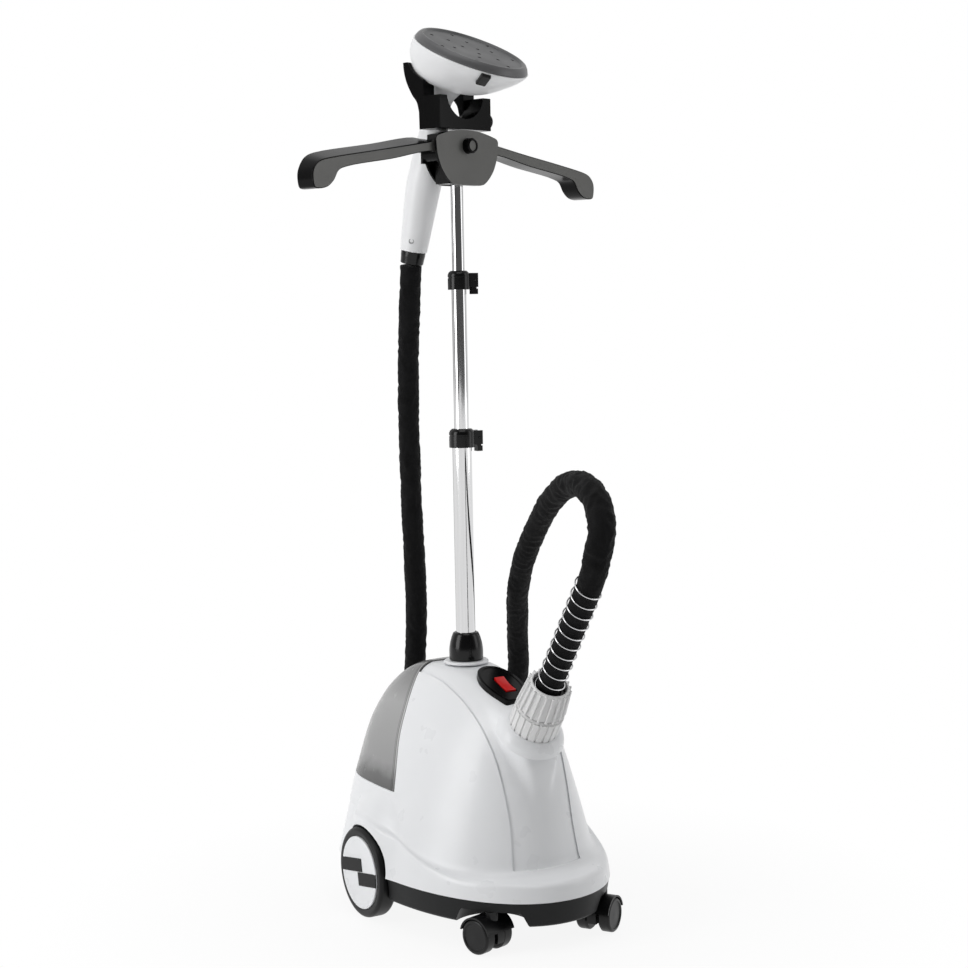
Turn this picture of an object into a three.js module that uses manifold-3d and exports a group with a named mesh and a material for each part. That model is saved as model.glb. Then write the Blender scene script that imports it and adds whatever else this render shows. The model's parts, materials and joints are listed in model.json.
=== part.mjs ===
// Garment steamer with a telescopic pole, a folding hanger, a steam head in its cradle and a flexible hose.
// Millimetres, +Z up, front of the machine towards -Y. The model is drawn about the pole's axis, and the
// finished group is moved so that its origin is the middle of the footprint, on the floor.
import * as THREE from "three";
import { mergeVertices } from "three/addons/utils/BufferGeometryUtils.js";
import Module from "manifold-3d";

const wasm = await Module();
wasm.setup();

// ---------- Driving dimensions ----------

const GAP = 0.35; // clearance between pieces that touch
const WALL = 3; // wall of the mouldings
const FAR = 260; // past every piece of the base, for cutting shapes

// Body: height, half-width, reach to the front and reach to the rear of the dome, from the foot up.
const DOME = [
  { z: 64.3, side: 148, front: 206, rear: 160 },
  { z: 90, side: 141, front: 199, rear: 160 },
  { z: 116, side: 133, front: 194, rear: 160 },
  { z: 155, side: 121, front: 187, rear: 160 },
  { z: 187, side: 110, front: 181, rear: 158 },
  { z: 230, side: 95, front: 169, rear: 151 },
  { z: 265, side: 77, front: 151, rear: 137 },
  { z: 290, side: 62, front: 126, rear: 114 },
  { z: 306, side: 50, front: 90, rear: 88 },
  { z: 314, side: 41, front: 64, rear: 66 },
  { z: 318, side: 33, front: 46, rear: 48 },
];
const BODY_MIDDLE = 17; // y of the widest line of the body
const FRONT_POWER = 2.1; // superellipse power of the front half
const REAR_POWER = 3.4; // and of the boxier rear half
const BODY_COLUMNS = 40;
const SKIRT = { bottom: 64.3, rim: 86, foot: 90, side: 146, front: 236, rear: 160, flare: 2 };
const FENDER_RISE = 42; // how much higher the skirt's ledge runs over the wheels than in front
const FENDER = { side: 145, near: 55, far: 105, along: 1.35 }; // flare, by distance from the axle
const POD = { out: 17, low: 168, full: 240, fade: 296, half: 40, edge: 14 }; // swelling by the outlet

const TRAY = { bottom: 33, top: 64, side: 147, front: 239, rear: 158, taper: 4, floor: 3.5 };
const WHEEL = { radius: 58, width: 25, outer: 152, y: 22, rim: 47, capProud: 1.5 };
const ARCH = { radius: 62, inner: 125 };
const AXLE_RADIUS = 4;
const CASTER_AXLE = 2.5;
const CASTER_STEM = { radius: 5 };
const BOILER = { y: -95, radius: 45, bottom: 60, top: 140 };
const GLAND = { x: -70, y: 160.4, z: 100, neck: 8, flange: 12, bore: 4 };
const CASTER = { x: 80, y: -187, trail: 8, radius: 21.5, wheel: 15.5, inner: 7.5, pocket: 41, ceiling: 52 };
const CASTER_TURN = { left: 16, right: 122 }; // degrees that each caster stands turned

const PANEL = [ // half-width of the front panel by height
  [49, 94.5], [45.3, 147], [46.7, 198], [49.8, 250], [51.3, 290], [50, 308], [50, 330],
];
const TANK = { floor: 165, foot: -11, brow: 38, browZ: 309, channelX: 32, channelY: 36 };
const TANK_VALVE = { y: 95, neck: 14, cap: 16.5, hole: 21, seat: 27 };
const FEED_RADIUS = 4;

const SWITCH = { top: [-49, 318.6], bottom: [-131, 288.6], width: 54, rocker: [14, 32], centre: 0.56 };
const OUTLET = { y: -160, z: 261, lean: 34, radius: 31, ring: 33.6, nutTop: 75, nutRadius: 25.5, sink: -6 };
const SPRING = { start: 60, end: 238, coil: 17.4, wire: 0.95, turns: 11 };

const POLE = { lower: 12.5, middle: 9.5, upper: 8, wall: 1 };
const SOCKET = { outer: 16, inner: 13.2, bottom: 50, flange: 29 };
const COLLAR = { z: 322.4, height: 36, bottom: 22, top: 17.5 };
const LOCK = {
  lower: 599, upper: 801, height: 24, wall: 4, pinOut: 5.4, pin: 1.5, ear: 8, lever: 4.5, foot: 6,
};
const TUBE_Z = { lower: [52, 611], middle: [364, 813], upper: [563, 972] };

const HANGER_TURN = 17; // degrees that the hanger stands turned about the pole
const HUB = {
  top: 1001, shoulder: 991, bottom: 932, front: -20.6, seam: -11, back: 6, rimHalf: 46, footHalf: 20,
  core: 26,
};
const SADDLE = { half: 47.5, top: 1043, base: 1002, front: -18, back: 10, notch: 34, notchZ: 1049 };
const KNOB = { z: 981, radius: 9.5, proud: 10 };
const ARM = {
  front: -14, back: 14, raise: 8, rootHalf: 12, thinTo: 58, pivotX: 40, pivotZ: 971, eye: 10, pin: 3,
};
const CRADLE = { half: 47, slot: 27 };
const HEAD = { y: -34, z: 1101.5, radius: 75.5, tilt: 27, depth: 60, rim: -10, bore: 9 };
const HANDLE = [ // axis (y, z) and radius, from the neck down to the hose cuff
  [13.9, 1058, 21.5], [20.5, 1050, 16.8], [26.5, 1040, 15.2], [32.5, 1024, 16], [38, 1003, 18.5],
  [46, 972, 22], [60, 930, 22.3], [70, 890, 20], [79, 853, 17.6],
];

const HUB_SHIELD = [ // right half of the hub's outline (x, z), from the top
  [0, 1001], [15, 1000.3], [30, 998.2], [45, 994.8], [55, 991.5], [57.5, 988], [57, 979], [55.5, 970],
  [52.5, 961], [48.5, 952.5], [43, 945], [36, 938], [29, 933.5], [22, 932],
];
const ARM_OUTLINE = [ // (x, z) of the right arm from its root, and 1 where the rear edge is raised
  [38, 964, 0], [38, 979, 0], [52, 985.5, 0.4], [66, 983.4, 1], [140, 972, 1], [233, 957.6, 1],
  [246, 954.5, 0.8], [253, 951, 0.5], [260, 942, 0], [260, 928, 0], [257, 922, 0], [238, 923, 0],
  [226.5, 931, 0], [218, 943, 0], [205, 948, 0], [130, 960, 0], [52, 972, 0],
];
const CRADLE_SIDE = [ // side outline (y, z) of the cradle's prongs
  [10.4, 1002], [18, 1002], [20.5, 1034], [30, 1046], [40, 1064], [44.5, 1087], [37, 1087], [28, 1070],
  [10.4, 1046],
];
const CUP = [ // rings of the steam head (radius, distance behind its face, how far it lies back)
  [26, -60, 23], [41, -55, 21.5], [53, -47, 18], [63.5, -35.5, 13], [71.5, -23.5, 6.5], [75, -14, 1.5],
  [75.5, -10, 0],
];
const CUP_SIDES = 28;
const STEAM_HOLES = [ // (radius, angle) on the plate
  [14, 20], [14, 140], [14, 260], [34, 0], [34, 60], [34, 120], [34, 180], [34, 240], [34, 300], [55, 25],
  [55, 75], [55, 125], [55, 175], [55, 225], [55, 275], [55, 325],
];

const CUFF = { top: 17.6, bottom: 16, length: 17 };
const CATCH = { angle: 241, radius: 70, depth: -19.5, slope: 52, wide: 12, long: 16, thick: 3.5 }; // tab

const HOSE_RADIUS = 14;
const HOSE_SIDES = 10;
const HOSE = [ // centre of the hose, from the nut's mouth to the cuff
  [0, -192.4, 309.1], [0, -221.5, 352.2], [0, -252.2, 397.8], [0, -293, 458.3], [1, -307, 490],
  [4, -311, 522], [12, -290, 551], [22, -247, 566], [33, -192, 560], [44, -138, 534], [56, -84, 494],
  [70, -32, 447],
  [89, 14, 400], [110, 50, 358], [127, 78, 318], [139, 98, 276], [145, 120, 235], [143, 148, 195],
  [130, 180, 163], [105, 203, 146], [76, 213, 145], [50, 213, 163], [33, 206, 195], [26, 195, 238],
  [22, 180, 290], [17, 165, 350], [7, 148, 440], [-2, 136, 520], [-9, 125, 590], [-14, 117, 640],
  [-20, 103, 710], [-24, 88, 780], [-26, 79, 834],
];
const HOSE_STRETCHES = [ // name, first and last point of the list, and steps
  ["hose_arch", 0, 14, 20], ["hose_rise", 14, 20, 10], ["hose_low", 20, 26, 10], ["hose_mid", 26, 29, 5],
  ["hose_top", 29, 32, 5],
];

// ---------- Materials ----------

const finish = (color, roughness, metalness, opacity = 1) =>
  new THREE.MeshStandardMaterial({ color, roughness, metalness, opacity, transparent: opacity < 1 });
const WHITE = finish(0xebecee, 0.25, 0);
const DARK_GREY = finish(0x3b3c3f, 0.45, 0);
const BLACK = finish(0x0e0e0f, 0.3, 0);
const CHROME = finish(0xd8d9dc, 0.12, 1);
const SMOKE = finish(0x8f9194, 0.15, 0, 0.5);
const RED = finish(0xd91a1a, 0.3, 0);
const RUBBER = finish(0x151515, 0.8, 0);
const ALUMINIUM = finish(0xb4b6b9, 0.4, 1);
const STEEL = finish(0x9a9ca0, 0.35, 1);
const FABRIC = finish(0x111112, 0.95, 0);
const PLATE_GREY = finish(0x57585a, 0.35, 0.1);

// ---------- Helpers ----------

const radians = THREE.MathUtils.degToRad;
const lerp = THREE.MathUtils.lerp;
const smooth = (low, high, value) => THREE.MathUtils.smoothstep(value, low, high);

const object = new THREE.Group();
const body = new THREE.Group(); // everything, about the pole's axis
const hanger = new THREE.Group(); // hub, arms, cradle and head
hanger.rotation.z = radians(HANGER_TURN);
body.add(hanger);
object.add(body);

function add(name, geometry, material, parent = body) {
  const mesh = new THREE.Mesh(geometry, material);
  mesh.name = name;
  parent.add(mesh);
  return mesh;
}

// A closed geometry as a solid that can be joined and cut.
function solid(geometry) {
  const bare = geometry.index ? geometry.toNonIndexed() : geometry.clone();
  for (const key of Object.keys(bare.attributes)) {
    if (key !== "position") bare.deleteAttribute(key);
  }
  const merged = mergeVertices(bare, 1e-3);
  return new wasm.Manifold(
    new wasm.Mesh({
      numProp: 3,
      vertProperties: merged.attributes.position.array,
      triVerts: new Uint32Array(merged.index.array),
    }),
  );
}

function geometryOf(made) {
  const mesh = made.getMesh();
  const geometry = new THREE.BufferGeometry();
  geometry.setAttribute("position", new THREE.BufferAttribute(mesh.vertProperties, 3));
  geometry.setIndex(new THREE.BufferAttribute(mesh.triVerts, 1));
  const flat = geometry.toNonIndexed();
  flat.computeVertexNormals();
  return flat;
}

const asSolid = (shape) => (shape.isBufferGeometry ? solid(shape) : shape);
const join = (...shapes) => shapes.map(asSolid).reduce((sum, shape) => sum.add(shape));
const cut = (whole, ...away) =>
  away.map(asSolid).reduce((rest, shape) => rest.subtract(shape), asSolid(whole));
const largest = (shape) => shape.decompose().sort((a, b) => b.volume() - a.volume())[0];

const block = (x0, x1, y0, y1, z0, z1) =>
  new THREE.BoxGeometry(x1 - x0, y1 - y0, z1 - z0).translate((x0 + x1) / 2, (y0 + y1) / 2, (z0 + z1) / 2);

// Turned about Z from a profile of [radius, z] points that runs anticlockwise seen with the axis at the left.
const turned = (profile, segments = 20) =>
  new THREE.LatheGeometry(profile.map(([r, z]) => new THREE.Vector2(r, z)), segments).rotateX(Math.PI / 2);

const rod = (radius, z0, z1, segments = 16) =>
  turned([[0, z0], [radius, z0], [radius, z1], [0, z1]], segments);

const tube = (outer, inner, z0, z1, segments = 20) =>
  turned([[inner, z0], [outer, z0], [outer, z1], [inner, z1], [inner, z0]], segments);

const alongX = (geometry) => geometry.rotateY(Math.PI / 2);
const alongY = (geometry) => geometry.rotateX(-Math.PI / 2);

// A flat outline of [x, z] points, as thick as y0 to y1.
function slab(points, y0, y1) {
  const shape = new THREE.Shape(points.map(([x, z]) => new THREE.Vector2(x, z)));
  return new THREE.ExtrudeGeometry(shape, { depth: y1 - y0, bevelEnabled: false })
    .rotateX(Math.PI / 2)
    .translate(0, y1, 0);
}

// A side outline of [y, z] points, as wide as x0 to x1.
const profileAlongX = (points, x0, x1) => slab(points, -x1, -x0).rotateZ(Math.PI / 2);

// A solid through rings of points, all with the same count, closed by flat ends.
function lofted(rings) {
  const count = rings[0].length;
  const points = rings.flat();
  const faces = [];
  for (let r = 0; r + 1 < rings.length; r++) {
    for (let i = 0; i < count; i++) {
      const a = r * count + i;
      const b = r * count + ((i + 1) % count);
      faces.push(a, b, b + count, a, b + count, a + count);
    }
  }
  const last = (rings.length - 1) * count;
  for (const [start, turn] of [[0, true], [last, false]]) {
    const ring = points.slice(start, start + count);
    const axes = flatAxes(ring);
    const flat = ring.map((p) => new THREE.Vector2(p.dot(axes[0]), p.dot(axes[1])));
    for (const [a, b, c] of THREE.ShapeUtils.triangulateShape(flat, [])) {
      faces.push(start + a, start + (turn ? c : b), start + (turn ? b : c));
    }
  }
  if (volumeOf(points, faces) < 0) faces.reverse();
  const geometry = new THREE.BufferGeometry().setFromPoints(points);
  geometry.setIndex(faces);
  geometry.computeVertexNormals();
  return geometry;
}

function volumeOf(points, faces) {
  let sum = 0;
  for (let i = 0; i < faces.length; i += 3) {
    const [a, b, c] = [points[faces[i]], points[faces[i + 1]], points[faces[i + 2]]];
    sum += a.dot(b.clone().cross(c)) / 6;
  }
  return sum;
}

// Two axes in the plane of a ring of points, which runs anticlockwise about their cross product.
function flatAxes(ring) {
  const normal = new THREE.Vector3();
  ring.forEach((p, i) => normal.add(p.clone().cross(ring[(i + 1) % ring.length])));
  normal.normalize();
  const first = ring[1].clone().sub(ring[0]);
  first.addScaledVector(normal, -first.dot(normal)).normalize();
  return [first, normal.clone().cross(first)];
}

// The stations' values at a height, on a smooth curve through them.
function stationAt(stations, z) {
  const last = stations.length - 1;
  let i = 0;
  while (i < last - 1 && z > stations[i + 1].z) i++;
  const t = THREE.MathUtils.clamp((z - stations[i].z) / (stations[i + 1].z - stations[i].z), 0, 1);
  const mix = (key) => lerp(stations[i][key], stations[i + 1][key], t);
  return { side: mix("side"), front: mix("front"), rear: mix("rear") };
}

// Unit outline of the body: x and y of each column, from -1 to 1.
const COLUMNS = Array.from({ length: BODY_COLUMNS }, (_, i) => {
  const angle = ((i + 0.5) * 2 * Math.PI) / BODY_COLUMNS;
  const c = Math.cos(angle);
  const s = Math.sin(angle);
  const power = 2 / (s < 0 ? FRONT_POWER : REAR_POWER);
  return { x: Math.sign(c) * Math.abs(c) ** power, y: Math.sign(s) * Math.abs(s) ** power };
});

const onOutline = (column, { side, front, rear }, inset = 0) => [
  column.x * (side - inset),
  BODY_MIDDLE + column.y * (column.y < 0 ? front + BODY_MIDDLE - inset : rear - BODY_MIDDLE - inset),
];

// How far the pod swells the dome at a point of its front.
function podOut(x, y, z) {
  if (y > 0) return 0;
  const height = smooth(POD.low, POD.full, z) * (1 - 0.8 * smooth(POD.full + 18, POD.fade, z));
  return POD.out * height * (1 - smooth(POD.half - POD.edge, POD.half, Math.abs(x)));
}

// The body's surface as rings, from the skirt's lower edge to the top, moved in by inset.
function bodyRings(inset, bottom) {
  const frontness = (column) => smooth(-0.05, 0.75, -column.y);
  const flared = (x, y, z) => {
    const away = Math.hypot((y - WHEEL.y) * FENDER.along, z - WHEEL.radius);
    const share = 1 - smooth(FENDER.near, FENDER.far, away);
    const missing = Math.max(0, FENDER.side - inset - Math.abs(x));
    return new THREE.Vector3(x + Math.sign(x) * missing * share, y, z);
  };
  const skirtPoint = (column, z, dims) => flared(...onOutline(column, dims, inset), z);
  const footZ = (column) => SKIRT.foot + FENDER_RISE * (1 - frontness(column)) - inset;
  const domePoint = (column, z) => {
    const [x, y] = onOutline(column, stationAt(DOME, z + inset), inset);
    return flared(x, y - podOut(x, y, z), z);
  };
  const rimPoint = (column, part) => {
    const foot = domePoint(column, footZ(column));
    const edge = skirtPoint(column, footZ(column) - (SKIRT.foot - SKIRT.rim), SKIRT);
    return foot.lerp(edge, frontness(column) * part).setZ(footZ(column) - part * (SKIRT.foot - SKIRT.rim));
  };
  const skirtFoot = {
    side: SKIRT.side + SKIRT.flare, front: SKIRT.front + SKIRT.flare * 2, rear: SKIRT.rear,
  };
  const rings = [COLUMNS.map((column) => skirtPoint(column, bottom, skirtFoot))];
  rings.push(COLUMNS.map((column) => rimPoint(column, 1)));
  rings.push(COLUMNS.map((column) => rimPoint(column, 0.92)));
  rings.push(COLUMNS.map((column) => rimPoint(column, 0)));
  const top = DOME.at(-1).z;
  const rows = [0.09, 0.2, 0.42, 0.62, 0.78, 0.9, 0.97, 1];
  for (const part of rows) {
    rings.push(COLUMNS.map((column) => domePoint(column, lerp(footZ(column), top - inset, part))));
  }
  return rings;
}

const mirrored = (points) => points.concat(points.map(([x, z]) => [-x, z]).reverse());

// ---------- Base: shells ----------

const bodyOuter = solid(lofted(bodyRings(0, SKIRT.bottom)));
const bodyInner = solid(lofted(bodyRings(WALL, SKIRT.bottom - 10)));
const bodyDeep = solid(lofted(bodyRings(WALL + GAP, SKIRT.bottom - 10)));

// The space that the tank fills, grown by a margin, without the pole's channel.
function tankSpace(margin) {
  const side = [
    [TANK.foot - margin, TANK.floor - margin],
    [FAR, TANK.floor - margin],
    [FAR, FAR * 1.5],
    [TANK.brow - margin, FAR * 1.5],
    [TANK.brow - margin, TANK.browZ],
  ];
  const half = TANK.channelX - margin;
  return cut(profileAlongX(side, -FAR, FAR), block(-half, half, -FAR, TANK.channelY - margin, 0, FAR * 2));
}

const wheelWell = (side, radius, inner) => {
  const [x0, x1] = side > 0 ? [inner, FAR] : [-FAR, -inner];
  return solid(alongX(rod(radius, x0, x1, 24)).translate(0, WHEEL.y, WHEEL.radius));
};

const panelPrism = (margin) => {
  const sides = PANEL.map(([x, z], i) => [x + margin, i === 0 ? z - margin : z]);
  return solid(slab(mirrored(sides), -FAR, TANK.brow + margin));
};

const outletTurn = (geometry) => geometry.rotateX(radians(OUTLET.lean)).translate(0, OUTLET.y, OUTLET.z);

const switchMiddle = [(SWITCH.top[0] + SWITCH.bottom[0]) / 2, (SWITCH.top[1] + SWITCH.bottom[1]) / 2];
const switchRun = [SWITCH.top[0] - SWITCH.bottom[0], SWITCH.top[1] - SWITCH.bottom[1]];
const switchLength = Math.hypot(...switchRun);
// Places what is drawn flat, x across and y up the slope, on the switch's slope.
const onSlope = (geometry) =>
  geometry.rotateX(Math.atan2(switchRun[1], switchRun[0])).translate(0, ...switchMiddle);

// Rounded outline of the switch's bezel, drawn flat, with its narrow end up the slope.
function bezelShape(margin) {
  const half = SWITCH.width / 2 + margin;
  const reach = switchLength / 2 + margin;
  const right = [[0.62, -1], [0.8, -0.75], [0.95, -0.35], [1, 0.02], [0.93, 0.4], [0.66, 0.78], [0.3, 0.96]];
  const points = right.map(([x, y]) => [x * half, y * reach]);
  const outline = [...points, [0, reach], ...points.map(([x, y]) => [-x, y]).reverse()];
  return new THREE.Shape(outline.map(([x, y]) => new THREE.Vector2(x, y)));
}

function bezelPlate(margin, low, high) {
  const plate = new THREE.ExtrudeGeometry(bezelShape(margin), { depth: high - low, bevelEnabled: false });
  return onSlope(plate.translate(0, 0, low));
}

function makeHousing() {
  const shelf = bodyOuter.intersect(tankSpace(WALL));
  const gland = alongY(rod(GLAND.neck + GAP, 100, FAR)).translate(GLAND.x, 0, GLAND.z);
  let shell = cut(join(cut(bodyOuter, bodyInner), shelf), tankSpace(0), panelPrism(GAP).subtract(bodyDeep));
  for (const side of [-1, 1]) {
    shell = join(shell, wheelWell(side, ARCH.radius + WALL, ARCH.inner - WALL).intersect(bodyOuter));
    shell = cut(shell, wheelWell(side, ARCH.radius, ARCH.inner));
  }
  const valveHole = rod(TANK_VALVE.hole, TANK.floor - 10, TANK.floor + 5).translate(0, TANK_VALVE.y, 0);
  return largest(cut(shell, valveHole, gland));
}
add("housing_shell", geometryOf(makeHousing()), WHITE);

function makeFrontCover() {
  const skin = cut(bodyOuter, bodyInner).intersect(panelPrism(0));
  const poleHole = rod(SOCKET.outer + GAP, DOME.at(-1).z - 20, FAR * 1.5);
  const outletHole = outletTurn(rod(OUTLET.radius + GAP, OUTLET.sink, 80, 20));
  return largest(cut(skin, tankSpace(0), poleHole, outletHole, bezelPlate(GAP, -20, 20)));
}
add("front_cover", geometryOf(makeFrontCover()), WHITE);

function makeTank() {
  const outside = bodyOuter.intersect(tankSpace(-GAP));
  const inside = bodyInner.intersect(tankSpace(-GAP - WALL));
  const neck = rod(TANK_VALVE.neck + GAP, TANK.floor, TANK.floor + 10).translate(0, TANK_VALVE.y, 0);
  return largest(cut(outside, inside, neck));
}
add("water_tank", geometryOf(makeTank()), SMOKE);

const valveCap = turned([
  [0, TANK.floor - 8],
  [TANK_VALVE.cap, TANK.floor - 8],
  [TANK_VALVE.cap, TANK.floor],
  [TANK_VALVE.neck, TANK.floor],
  [TANK_VALVE.neck, TANK.floor + 8],
  [0, TANK.floor + 8],
]);
add("tank_valve_cap", valveCap.translate(0, TANK_VALVE.y, 0), DARK_GREY);

const seatTop = TANK.floor - WALL - GAP;
const valveSeat = turned([
  [FEED_RADIUS + GAP, seatTop - 14],
  [TANK_VALVE.seat, seatTop - 14],
  [TANK_VALVE.seat, seatTop],
  [TANK_VALVE.seat - WALL, seatTop],
  [TANK_VALVE.seat - WALL, seatTop - 11],
  [FEED_RADIUS + GAP, seatTop - 11],
  [FEED_RADIUS + GAP, seatTop - 14],
]);
add("tank_valve_seat", valveSeat.translate(0, TANK_VALVE.y, 0), DARK_GREY);

// ---------- Base: tray, axle and wheels ----------

const trayRing = (z, inset) =>
  COLUMNS.map((column) => new THREE.Vector3(...onOutline(column, TRAY, inset), z));

function makeTray() {
  const outside = solid(lofted([trayRing(TRAY.bottom, TRAY.taper), trayRing(TRAY.top, 0)]));
  const floor = TRAY.bottom + TRAY.floor;
  const inside = lofted([trayRing(floor, TRAY.taper + WALL), trayRing(TRAY.top + 5, WALL)]);
  const pedestals = [
    tube(SOCKET.outer + 4, SOCKET.outer - 4, floor - 1, SOCKET.bottom - GAP),
    tube(BOILER.radius - 8, BOILER.radius - 14, floor - 1, BOILER.bottom - GAP).translate(0, BOILER.y, 0),
  ];
  let tray = join(cut(outside, inside), ...pedestals);
  for (const side of [-1, 1]) {
    const x = side * CASTER.x;
    const bearing = block(ARCH.inner - 16, ARCH.inner, WHEEL.y - 11, WHEEL.y + 11, floor - 1, TRAY.top);
    const pocketWall = rod(CASTER.pocket + WALL, TRAY.bottom, CASTER.ceiling + WALL, 36);
    pocketWall.translate(x, CASTER.y, 0);
    const boss = rod(CASTER_STEM.radius + 4, CASTER.ceiling, TRAY.top).translate(x, CASTER.y, 0);
    tray = join(
      tray,
      side > 0 ? bearing : bearing.rotateZ(Math.PI).translate(0, WHEEL.y * 2, 0),
      wheelWell(side, ARCH.radius + WALL, ARCH.inner - WALL).intersect(outside),
      solid(pocketWall).intersect(outside),
      boss,
    );
  }
  for (const side of [-1, 1]) {
    const x = side * CASTER.x;
    tray = cut(
      tray,
      wheelWell(side, ARCH.radius, ARCH.inner),
      rod(CASTER.pocket, 0, CASTER.ceiling, 36).translate(x, CASTER.y, 0),
      rod(CASTER_STEM.radius + GAP, 0, TRAY.top + 5).translate(x, CASTER.y, 0),
    );
  }
  const axleHole = alongX(rod(AXLE_RADIUS + GAP, -FAR, FAR)).translate(0, WHEEL.y, WHEEL.radius);
  return largest(cut(tray, axleHole));
}
add("base_tray", geometryOf(makeTray()), DARK_GREY);

const hubcapFace = WHEEL.outer + WHEEL.capProud;
const axleEnd = WHEEL.outer - 6;
add("rear_axle", alongX(rod(AXLE_RADIUS, -axleEnd, axleEnd)).translate(0, WHEEL.y, WHEEL.radius), STEEL);

const tyreProfile = [
  [WHEEL.rim, WHEEL.outer - WHEEL.width],
  [WHEEL.radius - 3, WHEEL.outer - WHEEL.width],
  [WHEEL.radius, WHEEL.outer - WHEEL.width + 3],
  [WHEEL.radius, WHEEL.outer - 3],
  [WHEEL.radius - 3, WHEEL.outer],
  [WHEEL.rim, WHEEL.outer],
  [WHEEL.rim, WHEEL.outer - WHEEL.width],
];
const capRadius = WHEEL.rim - GAP;
const hubcapProfile = [
  [AXLE_RADIUS + GAP, WHEEL.outer - WHEEL.width],
  [AXLE_RADIUS + 5, WHEEL.outer - WHEEL.width],
  [AXLE_RADIUS + 5, hubcapFace - WALL],
  [capRadius - WALL, hubcapFace - WALL],
  [capRadius - WALL, WHEEL.outer - WHEEL.width + 1],
  [capRadius, WHEEL.outer - WHEEL.width + 1],
  [capRadius, hubcapFace - 1],
  [capRadius - 1, hubcapFace],
  [0, hubcapFace],
  [0, axleEnd + GAP],
  [AXLE_RADIUS + GAP, axleEnd + GAP],
  [AXLE_RADIUS + GAP, WHEEL.outer - WHEEL.width],
];
for (const side of [-1, 1]) {
  const name = side < 0 ? "left" : "right";
  const placed = (geometry) =>
    alongX(geometry).rotateZ(side < 0 ? Math.PI : 0).translate(0, WHEEL.y, WHEEL.radius);
  add(`${name}_tyre`, placed(turned(tyreProfile, 32)), RUBBER);
  add(`${name}_hubcap`, placed(turned(hubcapProfile, 20)), WHITE);
}

// ---------- Base: casters ----------

// Drawn about the swivel's axis, with the wheels trailing towards +Y.
function addCaster(name, x, turn) {
  const caster = new THREE.Group();
  caster.position.set(x, CASTER.y, 0);
  caster.rotation.z = radians(turn);
  body.add(caster);
  const atAxle = (geometry) => geometry.translate(0, CASTER.trail, CASTER.radius);
  const outer = CASTER.inner + CASTER.wheel;
  const webHalf = CASTER.inner - 1.5;
  const guard = cut(
    atAxle(alongX(rod(CASTER.radius + 3, -outer, outer, 16))),
    atAxle(alongX(rod(CASTER.radius + 0.8, -outer - 1, outer + 1, 16))),
    block(-FAR, FAR, -FAR, FAR, -FAR, CASTER.radius + 8),
  );
  const web = atAxle(alongX(rod(CASTER.radius + 2, -webHalf, webHalf, 16)));
  const stem = rod(CASTER_STEM.radius, CASTER.radius, TRAY.top - 1);
  const neck = rod(CASTER_STEM.radius + 3, CASTER.radius, CASTER.ceiling - 1);
  const hood = cut(
    join(guard, cut(web, block(-FAR, FAR, -FAR, FAR, -FAR, CASTER.radius - 8)), stem, neck),
    atAxle(alongX(rod(CASTER_AXLE + GAP, -FAR, FAR, 12))),
    ...[-1, 1].map((side) =>
      atAxle(alongX(rod(CASTER.radius + 0.8, webHalf, outer + 1, 16)).rotateZ(side < 0 ? Math.PI : 0)),
    ),
  );
  add(`${name}_caster_hood`, geometryOf(largest(hood)), BLACK, caster);
  add(`${name}_caster_axle`, atAxle(alongX(rod(CASTER_AXLE, -outer + 3, outer - 3, 12))), STEEL, caster);
  const wheel = [
    [CASTER_AXLE + GAP, CASTER.inner],
    [CASTER.radius - 2, CASTER.inner],
    [CASTER.radius, CASTER.inner + 2],
    [CASTER.radius, outer - 3],
    [CASTER.radius - 3, outer],
    [0, outer],
    [0, outer - 3 + GAP],
    [CASTER_AXLE + GAP, outer - 3 + GAP],
    [CASTER_AXLE + GAP, CASTER.inner],
  ];
  for (const [side, key] of [[-1, "a"], [1, "b"]]) {
    const placed = atAxle(alongX(turned(wheel, 16)).rotateZ(side < 0 ? Math.PI : 0));
    add(`${name}_caster_wheel_${key}`, placed, RUBBER, caster);
  }
}
addCaster("left", -CASTER.x, CASTER_TURN.left);
addCaster("right", CASTER.x, CASTER_TURN.right);

// ---------- Base: switch and steam outlet ----------

const rockerY = (0.5 - SWITCH.centre) * switchLength;
const [rockerWide, rockerLong] = SWITCH.rocker;
const bezelHole = (grow) => {
  const [w, l] = [rockerWide / 2 + grow, rockerLong / 2 + grow];
  return onSlope(block(-w, w, rockerY - l, rockerY + l, -20, 20));
};
add("switch_bezel", geometryOf(cut(bezelPlate(0, -4, 3.4), bezelHole(1.6))), BLACK);

function makeRocker() {
  const l = rockerLong / 2;
  const side = [[-l, -3], [-l + 4, -9], [l - 4, -9], [l, -3], [l, 5.2], [0, 3], [-l, 4.2]];
  const flat = profileAlongX(side, -rockerWide / 2, rockerWide / 2).translate(0, rockerY, 0);
  return onSlope(flat);
}
add("rocker_switch", makeRocker(), RED);

const socketProfile = [
  [12, OUTLET.sink - 20],
  [15, OUTLET.sink - 20],
  [15, OUTLET.sink + GAP],
  [OUTLET.radius - 2, OUTLET.sink + GAP],
  [OUTLET.radius - 2, 0],
  [OUTLET.radius, 4],
  [OUTLET.radius, OUTLET.ring],
  [18, OUTLET.ring],
  [18, OUTLET.ring + 21],
  [12, OUTLET.ring + 21],
  [12, OUTLET.sink - 20],
];
add("steam_outlet_socket", outletTurn(turned(socketProfile, 20)), WHITE);

const nutBase = OUTLET.ring + GAP;
const nutProfile = [
  [18 + GAP, nutBase],
  [OUTLET.radius - 1, nutBase],
  [OUTLET.radius - 1, nutBase + 12],
  [OUTLET.nutRadius, OUTLET.nutTop],
  [OUTLET.nutRadius - 3, OUTLET.nutTop],
  [OUTLET.nutRadius - 3, OUTLET.ring + 23],
  [18 + GAP, OUTLET.ring + 23],
  [18 + GAP, nutBase],
];
add("hose_nut", outletTurn(turned(nutProfile, 20)), WHITE);

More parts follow.
